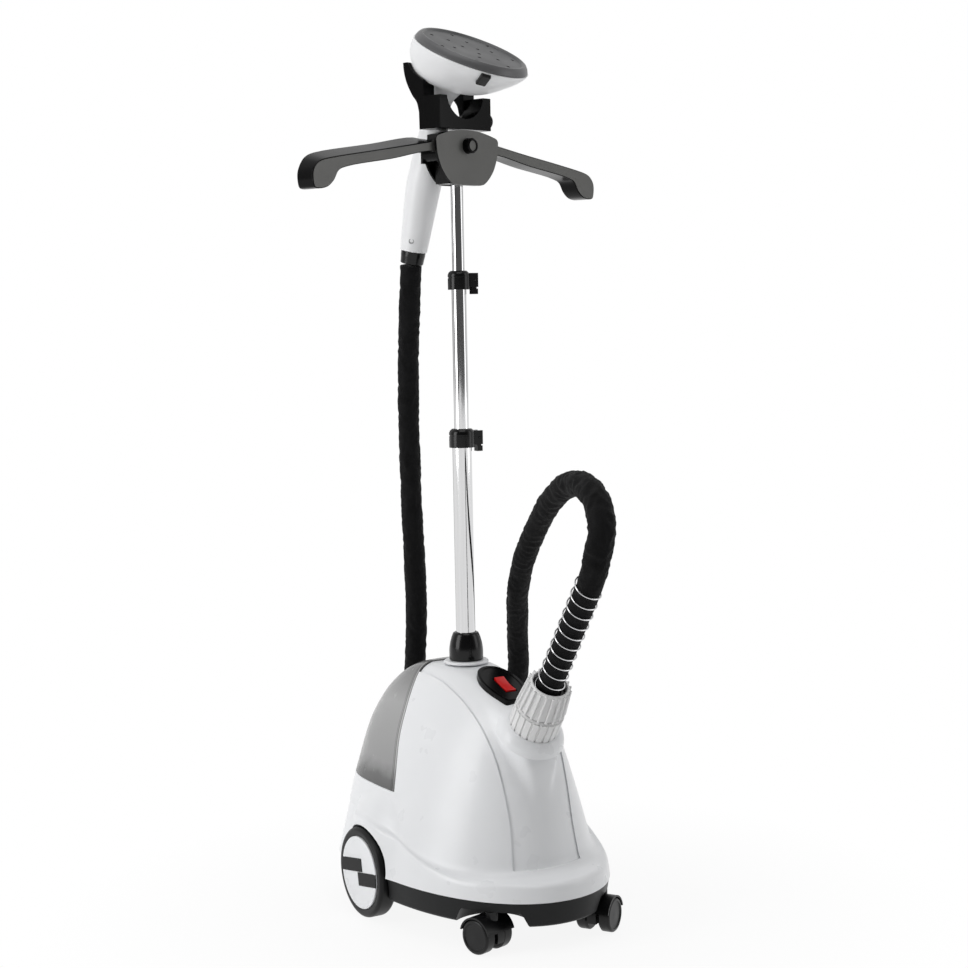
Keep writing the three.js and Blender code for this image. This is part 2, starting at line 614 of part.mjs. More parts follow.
class Helix extends THREE.Curve {
  getPoint(t) {
    const angle = t * SPRING.turns * 2 * Math.PI;
    const along = lerp(SPRING.start, SPRING.end, t);
    return new THREE.Vector3(SPRING.coil * Math.cos(angle), SPRING.coil * Math.sin(angle), along);
  }
}
const ringShape = (radius, sides) =>
  new THREE.Shape(
    Array.from({ length: sides }, (_, i) => {
      const angle = (i * 2 * Math.PI) / sides;
      return new THREE.Vector2(radius * Math.cos(angle), radius * Math.sin(angle));
    }),
  );
const along = (path, radius, sides, steps) =>
  new THREE.ExtrudeGeometry(ringShape(radius, sides), { steps, extrudePath: path, bevelEnabled: false });
add("hose_spring", outletTurn(along(new Helix(), SPRING.wire, 4, SPRING.turns * 12)), CHROME);

// ---------- Base: what is inside ----------

const boilerProfile = [
  [BOILER.radius - 4, BOILER.bottom],
  [BOILER.radius, BOILER.bottom + 4],
  [BOILER.radius, BOILER.top],
  [0, BOILER.top],
  [0, BOILER.bottom],
  [BOILER.radius - 4, BOILER.bottom],
];
add("boiler", turned(boilerProfile, 20).translate(0, BOILER.y, 0), ALUMINIUM);
const lidProfile = [
  [0, BOILER.top + GAP],
  [BOILER.radius + 3, BOILER.top + GAP],
  [BOILER.radius + 3, BOILER.top + 4],
  [12, BOILER.top + 8],
  [0, BOILER.top + 8],
];
add("boiler_lid", turned(lidProfile, 20).translate(0, BOILER.y, 0), ALUMINIUM);
const thermostatX = BOILER.radius + GAP;
add("thermostat", block(thermostatX, thermostatX + 9, BOILER.y - 9, BOILER.y + 9, 90, 112), BLACK);

const bentTube = (points, radius, sides, steps) =>
  along(new THREE.CatmullRomCurve3(points.map((p) => new THREE.Vector3(...p))), radius, sides, steps);
const boilerFront = BOILER.y + BOILER.radius;
add(
  "feed_pipe",
  bentTube(
    [
      [0, TANK_VALVE.y, seatTop - 12], [0, TANK_VALVE.y, seatTop - 22], [14, 78, 118], [32, 40, 108],
      [32, 0, 102], [18, -28, 100], [4, boilerFront + 12, 100], [0, boilerFront + 6, 100],
      [0, boilerFront + GAP * 3, 100],
    ],
    FEED_RADIUS, 8, 20,
  ),
  RUBBER,
);
const stemEnd = new THREE.Vector3(0, 0, OUTLET.sink - 20 - GAP)
  .applyAxisAngle(new THREE.Vector3(1, 0, 0), radians(OUTLET.lean))
  .add(new THREE.Vector3(0, OUTLET.y, OUTLET.z));
const stemAxis = new THREE.Vector3(0, -Math.sin(radians(OUTLET.lean)), Math.cos(radians(OUTLET.lean)));
const before = stemEnd.clone().addScaledVector(stemAxis, -18);
add(
  "steam_pipe",
  bentTube(
    [
      [0, BOILER.y, BOILER.top + 8 + GAP], [0, BOILER.y, BOILER.top + 26], [0, before.y + 4, before.z - 8],
      before.toArray(), stemEnd.toArray(),
    ],
    8, 8, 12,
  ),
  RUBBER,
);

const glandProfile = [
  [GLAND.bore, -8],
  [GLAND.neck, -8],
  [GLAND.neck, WALL],
  [GLAND.flange, WALL],
  [GLAND.flange - 2, WALL + 5],
  [GLAND.bore, WALL + 5],
  [GLAND.bore, -8],
];
add("cord_gland", alongY(turned(glandProfile, 20)).translate(GLAND.x, GLAND.y, GLAND.z), BLACK);

// ---------- Pole ----------

const plateau = DOME.at(-1).z;
const socket = [
  [0, SOCKET.bottom],
  [SOCKET.outer, SOCKET.bottom],
  [SOCKET.outer, plateau + GAP],
  [SOCKET.flange - 1, plateau + GAP],
  [SOCKET.flange, plateau + 1.5],
  [SOCKET.flange, plateau + 3],
  [SOCKET.flange - 1.5, COLLAR.z - GAP],
  [SOCKET.inner, COLLAR.z - GAP],
  [SOCKET.inner, SOCKET.bottom + 1.5],
  [0, SOCKET.bottom + 1.5],
];
add("pole_socket", turned(socket, 20), WHITE);

const collarTop = COLLAR.z + COLLAR.height;
const clear = POLE.lower + GAP;
add(
  "pole_collar",
  turned([
    [clear, COLLAR.z], [COLLAR.bottom, COLLAR.z], [COLLAR.bottom, COLLAR.z + 14],
    [COLLAR.bottom - 1, COLLAR.z + 22],
    [COLLAR.top, collarTop - 3], [COLLAR.top - 2, collarTop], [clear, collarTop], [clear, COLLAR.z],
  ], 20),
  BLACK,
);

const poleTube = (name, radius, [z0, z1]) => add(name, tube(radius, radius - POLE.wall, z0, z1, 20), CHROME);
poleTube("lower_tube", POLE.lower, TUBE_Z.lower);
poleTube("upper_tube", POLE.upper, TUBE_Z.upper);
const lowerBore = POLE.lower - POLE.wall - GAP;
const bushTop = TUBE_Z.lower[1] - 3;
add("lower_tube_bush", tube(lowerBore, POLE.middle + GAP, bushTop - 20, bushTop, 20), BLACK);
const [footZ, middleTop] = TUBE_Z.middle;
add(
  "middle_tube",
  turned([
    [0, footZ - 6], [lowerBore, footZ - 6], [lowerBore, footZ + 10], [POLE.middle, footZ + 12],
    [POLE.middle, middleTop],
    [POLE.middle - POLE.wall, middleTop], [POLE.middle - POLE.wall, footZ - 4], [0, footZ - 4],
  ]),
  CHROME,
);

// A clamp at the top of a tube, with ears that carry a cam lever on a pin.
function addLock(name, z, outer, radius, sliding, top) {
  const ring = turned([
    [radius + GAP, z], [outer, z], [outer, z + LOCK.height - 4], [outer - 4, z + LOCK.height],
    [sliding + GAP, z + LOCK.height], [sliding + GAP, top + GAP], [radius + GAP, top + GAP],
    [radius + GAP, z],
  ], 20);
  const pinX = outer + LOCK.pinOut;
  const pinZ = z + LOCK.height / 2;
  const earX = pinX + 5;
  const ears = block(outer - LOCK.wall / 2, earX, -LOCK.ear, LOCK.ear, z + 3, z + LOCK.height - 3);
  const slot = block(outer + 0.5, FAR, -LOCK.lever - GAP, LOCK.lever + GAP, z, z + LOCK.height);
  const pinHole = alongY(rod(LOCK.pin + GAP, -FAR, FAR, 12)).translate(pinX, 0, pinZ);
  add(`${name}_lock_body`, geometryOf(largest(cut(join(ring, ears), slot, pinHole))), BLACK);
  const cam = alongY(rod(4.5, -LOCK.lever, LOCK.lever, 16)).translate(pinX, 0, pinZ);
  const handle = block(pinX - 1, pinX + 4.5, -LOCK.lever, LOCK.lever, z - LOCK.foot, pinZ);
  const tip = block(pinX - 1, pinX + 6.5, -LOCK.lever, LOCK.lever, z - LOCK.foot, z + 1);
  const trunnions = alongY(rod(LOCK.pin, -LOCK.ear, LOCK.ear, 12)).translate(pinX, 0, pinZ);
  add(`${name}_lock_lever`, geometryOf(join(cam, handle, tip, trunnions)), BLACK);
}
addLock("lower", LOCK.lower, 16.4, POLE.lower, POLE.middle, TUBE_Z.lower[1]);
addLock("upper", LOCK.upper, 14, POLE.middle, POLE.upper, TUBE_Z.middle[1]);

// ---------- Hanger: hub, arms and cradle ----------

const hubOutline = (inset) => mirrored(HUB_SHIELD.map(([x, z]) => shrunk(x, z, inset)));
const hubMiddle = (HUB.top + HUB.bottom) / 2;
function shrunk(x, z, inset) {
  const length = Math.hypot(x, z - hubMiddle);
  return [x * (1 - inset / length), hubMiddle + (z - hubMiddle) * (1 - inset / length)];
}

function makeHubCover() {
  const plateBack = HUB.front + WALL;
  const rimInside = slab(hubOutline(WALL), plateBack - 2, HUB.seam + 1);
  const rim = cut(slab(hubOutline(0), plateBack - 1, HUB.seam), rimInside);
  const openings = [-1, 1].flatMap((side) => [
    sideBlock(side, HUB.rimHalf, FAR, plateBack, FAR, HUB.bottom - 1, HUB.top + 1),
    sideBlock(side, HUB.footHalf, FAR, plateBack, FAR, HUB.bottom - 1, HUB.shoulder - 12),
  ]);
  const knobHole = alongY(rod(KNOB.radius + GAP, -FAR, 0)).translate(0, 0, KNOB.z);
  return cut(join(slab(hubOutline(0), HUB.front, plateBack), cut(rim, ...openings)), knobHole);
}
const sideBlock = (side, x0, x1, ...rest) => (side > 0 ? block(x0, x1, ...rest) : block(-x1, -x0, ...rest));
add("hub_front_cover", geometryOf(largest(makeHubCover())), BLACK, hanger);

const coreFront = HUB.seam + GAP;
function makeHubCore() {
  const cap = solid(slab(hubOutline(0), coreFront, HUB.back)).intersect(
    solid(block(-HUB.rimHalf, HUB.rimHalf, -FAR, FAR, HUB.shoulder - 4, HUB.top)),
  );
  const post = HUB.core;
  const stem = block(-post, post, coreFront, POLE.upper + 4, HUB.bottom + 2, HUB.shoulder);
  const backPlate = block(
    -ARM.pivotX - 8, ARM.pivotX + 8, ARM.rootHalf + 0.5, ARM.rootHalf + 4, ARM.pivotZ - 12, ARM.pivotZ + 12,
  );
  const pins = [-1, 1].map((side) =>
    alongY(rod(ARM.pin, -ARM.rootHalf - 1, ARM.rootHalf + 2, 16)).translate(side * ARM.pivotX, 0, ARM.pivotZ),
  );
  const bore = rod(POLE.upper + GAP, 0, TUBE_Z.upper[1] + GAP);
  const link = block(-post, post, 0, ARM.rootHalf + 4, ARM.pivotZ - 12, ARM.pivotZ + 12);
  return cut(join(cap, stem, link, backPlate, ...pins), bore);
}
add("hub_core", geometryOf(largest(makeHubCore())), BLACK, hanger);

const knobFront = HUB.front - KNOB.proud;
const knob = turned([
  [0, HUB.front + WALL + 2],
  [KNOB.radius + 1.5, HUB.front + WALL + 2],
  [KNOB.radius + 1.5, HUB.front + WALL + GAP],
  [KNOB.radius, HUB.front + WALL + GAP],
  [KNOB.radius, knobFront + 3],
  [KNOB.radius - 3, knobFront],
  [0, knobFront],
].reverse(), 20);
add("hub_knob", alongY(knob).translate(0, 0, KNOB.z), BLACK, hanger);

// Outline of the right arm [x, z] with how far its rear edge is raised.
function makeArm(side) {
  const ring = (y, raised) =>
    ARM_OUTLINE.map(([x, z, lift]) => new THREE.Vector3(side * x, y, z + (raised ? lift * ARM.raise : 0)));
  const whole = solid(lofted([ring(ARM.front, false), ring(ARM.back, true)]));
  const atPivot = (geometry) => alongY(geometry).translate(side * ARM.pivotX, 0, ARM.pivotZ);
  const eye = atPivot(rod(ARM.eye, -ARM.rootHalf, ARM.rootHalf, 24));
  const thin = [
    sideBlock(side, 0, ARM.thinTo, -FAR, -ARM.rootHalf, 0, FAR * 5),
    sideBlock(side, 0, ARM.thinTo, ARM.rootHalf, FAR, 0, FAR * 5),
  ];
  const bore = atPivot(rod(ARM.pin + GAP, -FAR, FAR, 16));
  return cut(join(cut(whole, ...thin), eye), bore);
}
add("left_arm", geometryOf(makeArm(-1)), BLACK, hanger);
add("right_arm", geometryOf(makeArm(1)), BLACK, hanger);

const headTurn = (geometry) => geometry.rotateX(radians(HEAD.tilt)).translate(0, HEAD.y, HEAD.z);
const cupRing = (radius, height, back) =>
  Array.from({ length: CUP_SIDES }, (_, k) => {
    const angle = (k * 2 * Math.PI) / CUP_SIDES;
    return new THREE.Vector3(radius * Math.cos(angle), back + radius * Math.sin(angle), height);
  });
const cupRings = (grow) => CUP.map(([radius, height, back]) => cupRing(radius + grow, height, back));
const cupOutside = (grow) => headTurn(lofted([...cupRings(grow), cupRing(HEAD.radius + grow, 0, 0)]));

// Rings about the handle's axis, with the radius changed by grow; the first lies flat under the cup.
function handleRings(grow, extra = 0) {
  const axis = HANDLE.map(([y, z]) => new THREE.Vector3(0, y, z));
  return HANDLE.map(([, , radius], i) => {
    const tilt = radians(HEAD.tilt);
    const tangent =
      i === 0
        ? new THREE.Vector3(0, Math.sin(tilt), -Math.cos(tilt))
        : axis[Math.min(i + 1, axis.length - 1)].clone().sub(axis[i - 1]).normalize();
    const away = i === 0 ? -extra : i === axis.length - 1 ? extra : 0;
    const centre = axis[i].clone().addScaledVector(tangent, away);
    const across = new THREE.Vector3(1, 0, 0);
    const up = tangent.clone().cross(across);
    return Array.from({ length: 14 }, (_, k) => {
      const angle = (k * 2 * Math.PI) / 14;
      const r = grow === null ? HEAD.bore : radius + grow;
      const spoke = across.clone().multiplyScalar(Math.cos(angle)).addScaledVector(up, Math.sin(angle));
      return centre.clone().addScaledVector(spoke, r);
    });
  });
}

const clearOfHead = [cupOutside(1.5), lofted(handleRings(1.5, 2))];
const notch = alongY(rod(SADDLE.notch, -FAR, FAR, 32)).translate(0, 0, SADDLE.notchZ);
const saddleBlock = block(-SADDLE.half, SADDLE.half, SADDLE.front, SADDLE.back, SADDLE.base, SADDLE.top);
add("hub_saddle", geometryOf(largest(cut(saddleBlock, notch, ...clearOfHead))), BLACK, hanger);

for (const side of [-1, 1]) {
  const x = side > 0 ? [CRADLE.slot, CRADLE.half] : [-CRADLE.half, -CRADLE.slot];
  const prong = cut(profileAlongX(CRADLE_SIDE, ...x), ...clearOfHead);
  add(`${side < 0 ? "left" : "right"}_cradle_prong`, geometryOf(largest(prong)), BLACK, hanger);
}
const capX = SADDLE.half + GAP;
add("cradle_bolt_cap", alongX(rod(10.5, capX, capX + 8, 24)).translate(0, -5, 1015), BLACK, hanger);

// ---------- Steam head ----------

function makeCup() {
  const inside = CUP.slice(1, -1).map(([radius, height, back]) => cupRing(radius - WALL, height + 1, back));
  inside.push(cupRing(HEAD.radius - WALL, HEAD.rim, 0), cupRing(HEAD.radius - WALL, 0, 0));
  const bore = rod(HEAD.bore, -HEAD.depth - 1, -HEAD.depth + WALL * 2).translate(0, CUP[0][2], 0);
  return headTurn(geometryOf(cut(lofted(cupRings(0)), lofted(inside), bore)));
}
add("steam_head_cup", makeCup(), WHITE, hanger);

function makePlate() {
  const lid = HEAD.rim + GAP;
  const disc = turned([
    [0, lid - 4], [HEAD.radius - WALL * 2, lid - 4], [HEAD.radius - WALL * 2, lid], [HEAD.radius - 1.5, lid],
    [HEAD.radius - 1.5, lid + 2], [HEAD.radius - 6, -0.5], [HEAD.radius - 9, 0], [HEAD.radius - 11, -1.5],
    [0, -1.5],
  ], 28);
  const holes = STEAM_HOLES.map(([ring, angle]) => {
    const a = radians(angle);
    return rod(2.4, lid - 5, 0, 5).translate(ring * Math.cos(a), ring * Math.sin(a), 0);
  });
  return geometryOf(cut(disc, ...holes));
}
add("steam_plate", headTurn(makePlate()), PLATE_GREY, hanger);

add("handle", geometryOf(cut(lofted(handleRings(0)), lofted(handleRings(null, 3)))), WHITE, hanger);

// Cuff under the handle, along the handle's last stretch.
const handleEnd = new THREE.Vector3(0, HANDLE.at(-1)[0], HANDLE.at(-1)[1]);
const handleRun = handleEnd.clone().sub(new THREE.Vector3(0, HANDLE.at(-2)[0], HANDLE.at(-2)[1])).normalize();
const alongHandle = (geometry) =>
  geometry
    .applyQuaternion(new THREE.Quaternion().setFromUnitVectors(new THREE.Vector3(0, 0, 1), handleRun))
    .translate(...handleEnd.toArray());
const cuffProfile = [
  [HEAD.bore, GAP],
  [CUFF.top, GAP],
  [CUFF.top, 6],
  [CUFF.bottom, CUFF.length],
  [HEAD.bore, CUFF.length],
  [HEAD.bore, GAP],
];
add("hose_cuff", alongHandle(turned(cuffProfile)), BLACK, hanger);

// Tab that lies along the underside of the head.
function makeCatch() {
  const { radius, depth, slope, wide, long, thick } = CATCH;
  const tab = block(-long / 2, long / 2, -wide / 2, wide / 2, -thick, thick).rotateY(-radians(slope));
  tab.translate(radius, 0, depth).rotateZ(radians(CATCH.angle));
  return largest(cut(headTurn(tab), cupOutside(GAP)));
}
add("accessory_catch", geometryOf(makeCatch()), BLACK, hanger);

// ---------- Hose ----------

const hosePath = new THREE.CatmullRomCurve3(HOSE.map((p) => new THREE.Vector3(...p)));
hosePath.arcLengthDivisions = 2000;

class Stretch extends THREE.Curve {
  constructor(from, to) {
    super();
    this.range = [from, to].map((point) => lengthAt(point) / hosePath.getLength());
    this.gap = GAP / 2 / hosePath.getLength();
  }
  getPoint(t) {
    return hosePath.getPointAt(lerp(this.range[0] + this.gap, this.range[1] - this.gap, t));
  }
}

// Length of the hose from its start to one of its points.
function lengthAt(point) {
  const lengths = hosePath.getLengths();
  return lengths[Math.round((point / (HOSE.length - 1)) * (lengths.length - 1))];
}

for (const [name, from, to, steps] of HOSE_STRETCHES) {
  add(name, along(new Stretch(from, to), HOSE_RADIUS, HOSE_SIDES, steps), FABRIC);
}

// ---------- Footprint ----------

const isHose = (mesh) => HOSE_STRETCHES.some(([name]) => name === mesh.name);
const footprint = new THREE.Box3();
object.updateMatrixWorld(true);
object.traverse((item) => {
  if (item.isMesh && !isHose(item)) footprint.expandByObject(item, true);
});
const middle = footprint.getCenter(new THREE.Vector3());
body.position.set(-middle.x, -middle.y, -footprint.min.z);
object.updateMatrixWorld(true);

export default object;
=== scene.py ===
import json
import math

import bpy
import numpy as np
from mathutils import Matrix, Vector, noise

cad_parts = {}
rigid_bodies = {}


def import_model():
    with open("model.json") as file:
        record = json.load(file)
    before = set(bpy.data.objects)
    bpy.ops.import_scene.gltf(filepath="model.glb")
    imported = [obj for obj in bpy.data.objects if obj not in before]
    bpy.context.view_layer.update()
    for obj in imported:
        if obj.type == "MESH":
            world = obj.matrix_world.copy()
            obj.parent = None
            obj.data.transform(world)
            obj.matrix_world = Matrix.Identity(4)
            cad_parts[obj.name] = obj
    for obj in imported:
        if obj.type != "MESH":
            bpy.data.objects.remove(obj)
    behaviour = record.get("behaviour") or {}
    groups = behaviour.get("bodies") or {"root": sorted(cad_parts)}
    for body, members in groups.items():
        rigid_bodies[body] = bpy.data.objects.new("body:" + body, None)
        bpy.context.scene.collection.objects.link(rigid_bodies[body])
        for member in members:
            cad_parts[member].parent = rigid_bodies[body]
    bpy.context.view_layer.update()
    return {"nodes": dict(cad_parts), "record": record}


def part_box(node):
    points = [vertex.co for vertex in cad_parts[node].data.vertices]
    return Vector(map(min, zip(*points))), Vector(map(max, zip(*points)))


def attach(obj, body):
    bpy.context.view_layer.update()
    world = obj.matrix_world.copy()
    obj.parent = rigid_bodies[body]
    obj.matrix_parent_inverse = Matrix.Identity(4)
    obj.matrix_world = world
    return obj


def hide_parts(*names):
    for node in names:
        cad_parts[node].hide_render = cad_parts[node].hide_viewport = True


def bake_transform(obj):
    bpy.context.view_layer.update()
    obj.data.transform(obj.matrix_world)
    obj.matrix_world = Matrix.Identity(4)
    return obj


for leftover in list(bpy.data.objects):
    bpy.data.objects.remove(leftover)

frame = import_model()

MM = 0.001
tube_low, tube_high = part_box("lower_tube")
POLE = np.array([(tube_low.x + tube_high.x) / 2, (tube_low.y + tube_high.y) / 2, 0])
HANGER_TURN = 17  # degrees that the hanger stands turned about the pole


# ---------- Camera ----------

def make_camera():
    azimuth, yaw, pitch, roll = (math.radians(v) for v in (-30.04, -0.64, 5.51, -1.11))
    distance, height = 2.45019, 0.78713
    heading = azimuth + yaw
    level = Vector((math.cos(heading), math.sin(heading), 0))
    behind = Vector((math.sin(heading), -math.cos(heading), 0))
    back = behind * math.cos(pitch) + Vector((0, 0, math.sin(pitch)))
    upright = level.cross(-back)
    across = level * math.cos(roll) + upright * math.sin(roll)
    up = upright * math.cos(roll) - level * math.sin(roll)
    camera = bpy.data.objects.new("camera", bpy.data.cameras.new("camera"))
    bpy.context.scene.collection.objects.link(camera)
    place = Matrix((across, up, back)).transposed().to_4x4()
    place.translation = (
        POLE[0] + math.sin(azimuth) * distance,
        POLE[1] - math.cos(azimuth) * distance,
        height,
    )
    camera.matrix_world = place
    camera.data.sensor_width = 36
    camera.data.lens = 70.9
    camera.data.clip_end = 50
    bpy.context.scene.camera = camera


make_camera()


# ---------- Finishes ----------

def finish(name, slot, colour, roughness, **sockets):
    """A material with its main shader, whose plain values are set on the shader's own sockets."""
    material = bpy.data.materials.new(name)
    material.use_nodes = True
    tree = material.node_tree
    shader = tree.nodes["Principled BSDF"]
    shader.inputs["Base Color"].default_value = (*colour, 1)
    shader.inputs["Roughness"].default_value = roughness
    for socket, value in sockets.items():
        shader.inputs[socket.replace("_", " ")].default_value = value
    material["slot"] = slot
    return material


def add_node(tree, kind, inputs, settings):
    """A new node with its settings made and its inputs linked or given a value."""
    made = tree.nodes.new(kind)
    for key, value in settings.items():
        setattr(made, key, value)
    for key, value in (inputs or {}).items():
        if isinstance(value, bpy.types.NodeSocket):
            tree.links.new(value, made.inputs[key])
        else:
            made.inputs[key].default_value = value
    return made


def node(owner, kind, inputs=None, **settings):
    """A node of a material or world."""
    return add_node(owner.node_tree, kind, inputs, settings)


def maths(owner, operation, *values):
    return node(owner, "ShaderNodeMath", dict(enumerate(values)), operation=operation).outputs[0]


def vector_maths(owner, operation, *values):
    """The one number that comes out of a dot product or a length."""
    made = node(owner, "ShaderNodeVectorMath", dict(enumerate(values)), operation=operation)
    return made.outputs["Value"]


def ranged(owner, value, **ends):
    """A value taken from one range to another; From_Min and the like name the node's sockets."""
    inputs = {key.replace("_", " "): end for key, end in ends.items()}
    return node(owner, "ShaderNodeMapRange", {"Value": value, **inputs}).outputs["Result"]


def link(material, output, socket):
    material.node_tree.links.new(output, material.node_tree.nodes["Principled BSDF"].inputs[socket])


def object_space(material, scale=(1, 1, 1)):
    place = node(material, "ShaderNodeTexCoord").outputs["Object"]
    return node(material, "ShaderNodeMapping", {"Vector": place, "Scale": scale}).outputs["Vector"]


def cloudy(material, space, scale, detail=3, rough=0.5):
    inputs = {"Vector": space, "Scale": scale, "Detail": detail, "Roughness": rough}
    return node(material, "ShaderNodeTexNoise", inputs).outputs["Fac"]


def ramp(material, factor, stops):
    """Colours, or greys given as one number, along a factor."""
    made = node(material, "ShaderNodeValToRGB", {"Fac": factor})
    band = made.color_ramp
    while len(band.elements) < len(stops):
        band.elements.new(1)
    for element, (position, colour) in zip(band.elements, stops):
        element.position = position
        element.color = (*(colour if hasattr(colour, "__len__") else [colour] * 3), 1)
    return made.outputs["Color"]


def shaded(colour, share):
    return [c * share for c in colour]


def raised(material, height, strength, distance):
    inputs = {"Height": height, "Strength": strength, "Distance": distance}
    link(material, node(material, "ShaderNodeBump", inputs).outputs["Normal"], "Normal")


def moulded(name, slot, colour, roughness, grain=700, depth=0.00001, drift=0.03, **sockets):
    """Moulded plastic: faint flow marks in the colour, a fine skin and slightly uneven gloss."""
    material = finish(name, slot, colour, roughness, **sockets)
    space = object_space(material)
    flow = cloudy(material, space, 14, 3, 0.5)
    link(material, ramp(material, flow, [(0.3, shaded(colour, 1 - drift)), (0.7, colour)]), "Base Color")
    rub = cloudy(material, space, 22, 3, 0.5)
    low, high = max(0.02, roughness * 0.88), min(1, roughness * 1.14)
    link(material, ramp(material, rub, [(0.3, low), (0.7, high)]), "Roughness")
    raised(material, cloudy(material, space, grain, 1, 0.4), 0.2, depth)
    return material


def metal(name, slot, colour, roughness, stretch, depth=0.00001):
    """Drawn or turned metal, with fine marks stretched along one axis."""
    material = finish(name, slot, colour, roughness, Metallic=1)
    space = object_space(material, stretch)
    marks = cloudy(material, space, 260, 4, 0.6)
    link(material, ramp(material, marks, [(0.3, shaded(colour, 0.9)), (0.7, colour)]), "Base Color")
    link(material, ramp(material, marks, [(0.3, roughness * 0.75), (0.7, roughness * 1.5)]), "Roughness")
    raised(material, marks, 0.2, depth)
    return material


WHITE = moulded("white_gloss", "white_plastic", (0.84, 0.85, 0.865), 0.3, grain=500, drift=0.015)
WHITE_RIB = moulded("white_ribbed", "white_plastic", (0.78, 0.78, 0.78), 0.38)
HEAD_WHITE = moulded("white_head", "white_plastic", (0.84, 0.845, 0.855), 0.34, grain=500, drift=0.015)
TRAY_GREY = moulded(
    "tray_grey", "dark_grey_plastic", (0.010, 0.0105, 0.011), 0.42, grain=1500, depth=0.00005, drift=0.15,
    Specular_IOR_Level=0.2,
)
BLACK_GLOSS = moulded(
    "black_gloss", "hub_plastic", (0.0025, 0.0025, 0.0027), 0.18, drift=0.2, Specular_IOR_Level=0.1
)
# Satin dark grey for the hanger's forward faces, lighter than the black plastic: partly a painted reflection
# of the lamps.
HUB_FACE_PAINTED_REFLECTION = moulded("hub_face_painted_reflection", "hub_plastic", (0.105, 0.105, 0.099), 0.4, drift=0.1)
BLACK_SATIN = moulded(
    "black_satin", "black_plastic", (0.0035, 0.0035, 0.0037), 0.2, drift=0.2, Specular_IOR_Level=0.3
)
CASTER_BLACK = moulded(
    "caster_black", "caster_plastic", (0.0065, 0.0065, 0.007), 0.34, grain=1200, depth=0.00004, drift=0.2,
    Specular_IOR_Level=0.3,
)
RUBBER = moulded(
    "tyre_rubber", "tyre_rubber", (0.005, 0.005, 0.0055), 0.4, grain=900, depth=0.00005, drift=0.25,
    Specular_IOR_Level=0.25,
)
RED = moulded("red_switch", "red_plastic", (0.62, 0.008, 0.008), 0.24, drift=0.06)
CHROME = metal("chrome", "chrome_tube", (0.72, 0.72, 0.725), 0.06, (1, 1, 0.02), 0.000004)
SPRING_CHROME = metal("spring_chrome", "spring_wire", (0.72, 0.72, 0.73), 0.12, (1, 1, 1), 0.000004)
ALUMINIUM = metal("cast_aluminium", "aluminium", (0.56, 0.57, 0.58), 0.42, (1, 1, 1), 0.00006)
STEEL = metal("axle_steel", "steel", (0.42, 0.42, 0.43), 0.34, (0.05, 1, 1))
SILICONE = moulded("silicone_hose", "silicone_pipe", (0.05, 0.045, 0.04), 0.5, depth=0.00003, drift=0.2)
PLATE = moulded(
    "plate_grey", "plate_grey", (0.1, 0.101, 0.104), 0.36, grain=1200, depth=0.00003, drift=0.1
)
PLATE_FACE = moulded(
    "plate_face", "plate_grey", (0.062, 0.063, 0.066), 0.42, grain=1200, depth=0.00003, drift=0.1
)


TANK_LEAN = (0, 0.947, -0.322)  # across the tank's front edge, which leans
TANK_EDGE = TANK_LEAN[1] * (-0.0112 + POLE[1]) + TANK_LEAN[2] * 0.165  # where the tank begins along that
TANK_EDGE_WIDTH = 0.02
TINT_HEIGHTS = dict(From_Min=0.165, From_Max=0.32)  # heights between which the tank's tint changes


def smoked_tank():
    """Smoked clear plastic, its tint darker in a band above the floor and towards the brow, with painted
    highlights and shade in bands along its front edge.
    """
    material = finish("smoked_tank", "smoked_tank", (0.42, 0.43, 0.44), 0.16, Alpha=0.82, IOR=1.49)
    space = object_space(material)
    height = node(material, "ShaderNodeSeparateXYZ", {"Vector": space}).outputs["Z"]
    wander = cloudy(material, space, 26, 4, 0.6)
    level = maths(material, "MULTIPLY_ADD", wander, 0.02, height)
    # Darker in a band above the floor and towards the brow.
    tint = ramp(
        material, ranged(material, level, **TINT_HEIGHTS),
        [(0.0, 0.12), (0.14, 0.17), (0.2, 0.30), (0.26, 0.38), (0.72, 0.46), (0.86, 0.34), (1.0, 0.24)],
    )
    # Painted highlights and shade: bright and dark bands along the tank's bevelled front edge, multiplied
    # into its tint.
    lean = vector_maths(material, "DOT_PRODUCT", space, TANK_LEAN)
    edge = ranged(material, lean, From_Min=TANK_EDGE, From_Max=TANK_EDGE + TANK_EDGE_WIDTH)
    painted_edge_light = ramp(
        material, edge,
        [
            (0.0, 0.3), (0.06, 0.35), (0.09, 1.4), (0.22, 1.3), (0.26, 0.4), (0.31, 0.5), (0.35, 1.2),
            (0.42, 0.6), (0.5, 1.0),
        ],
    )
    tint = node(
        material, "ShaderNodeMix", {0: 1.0, 6: tint, 7: painted_edge_light}, data_type="RGBA", blend_type="MULTIPLY"
    ).outputs[2]
    link(material, tint, "Base Color")
    smudge = cloudy(material, space, 60, 5, 0.7)
    link(material, ramp(material, smudge, [(0.4, 0.12), (0.7, 0.3)]), "Roughness")
    raised(material, wander, 0.15, 0.0006)
    return material


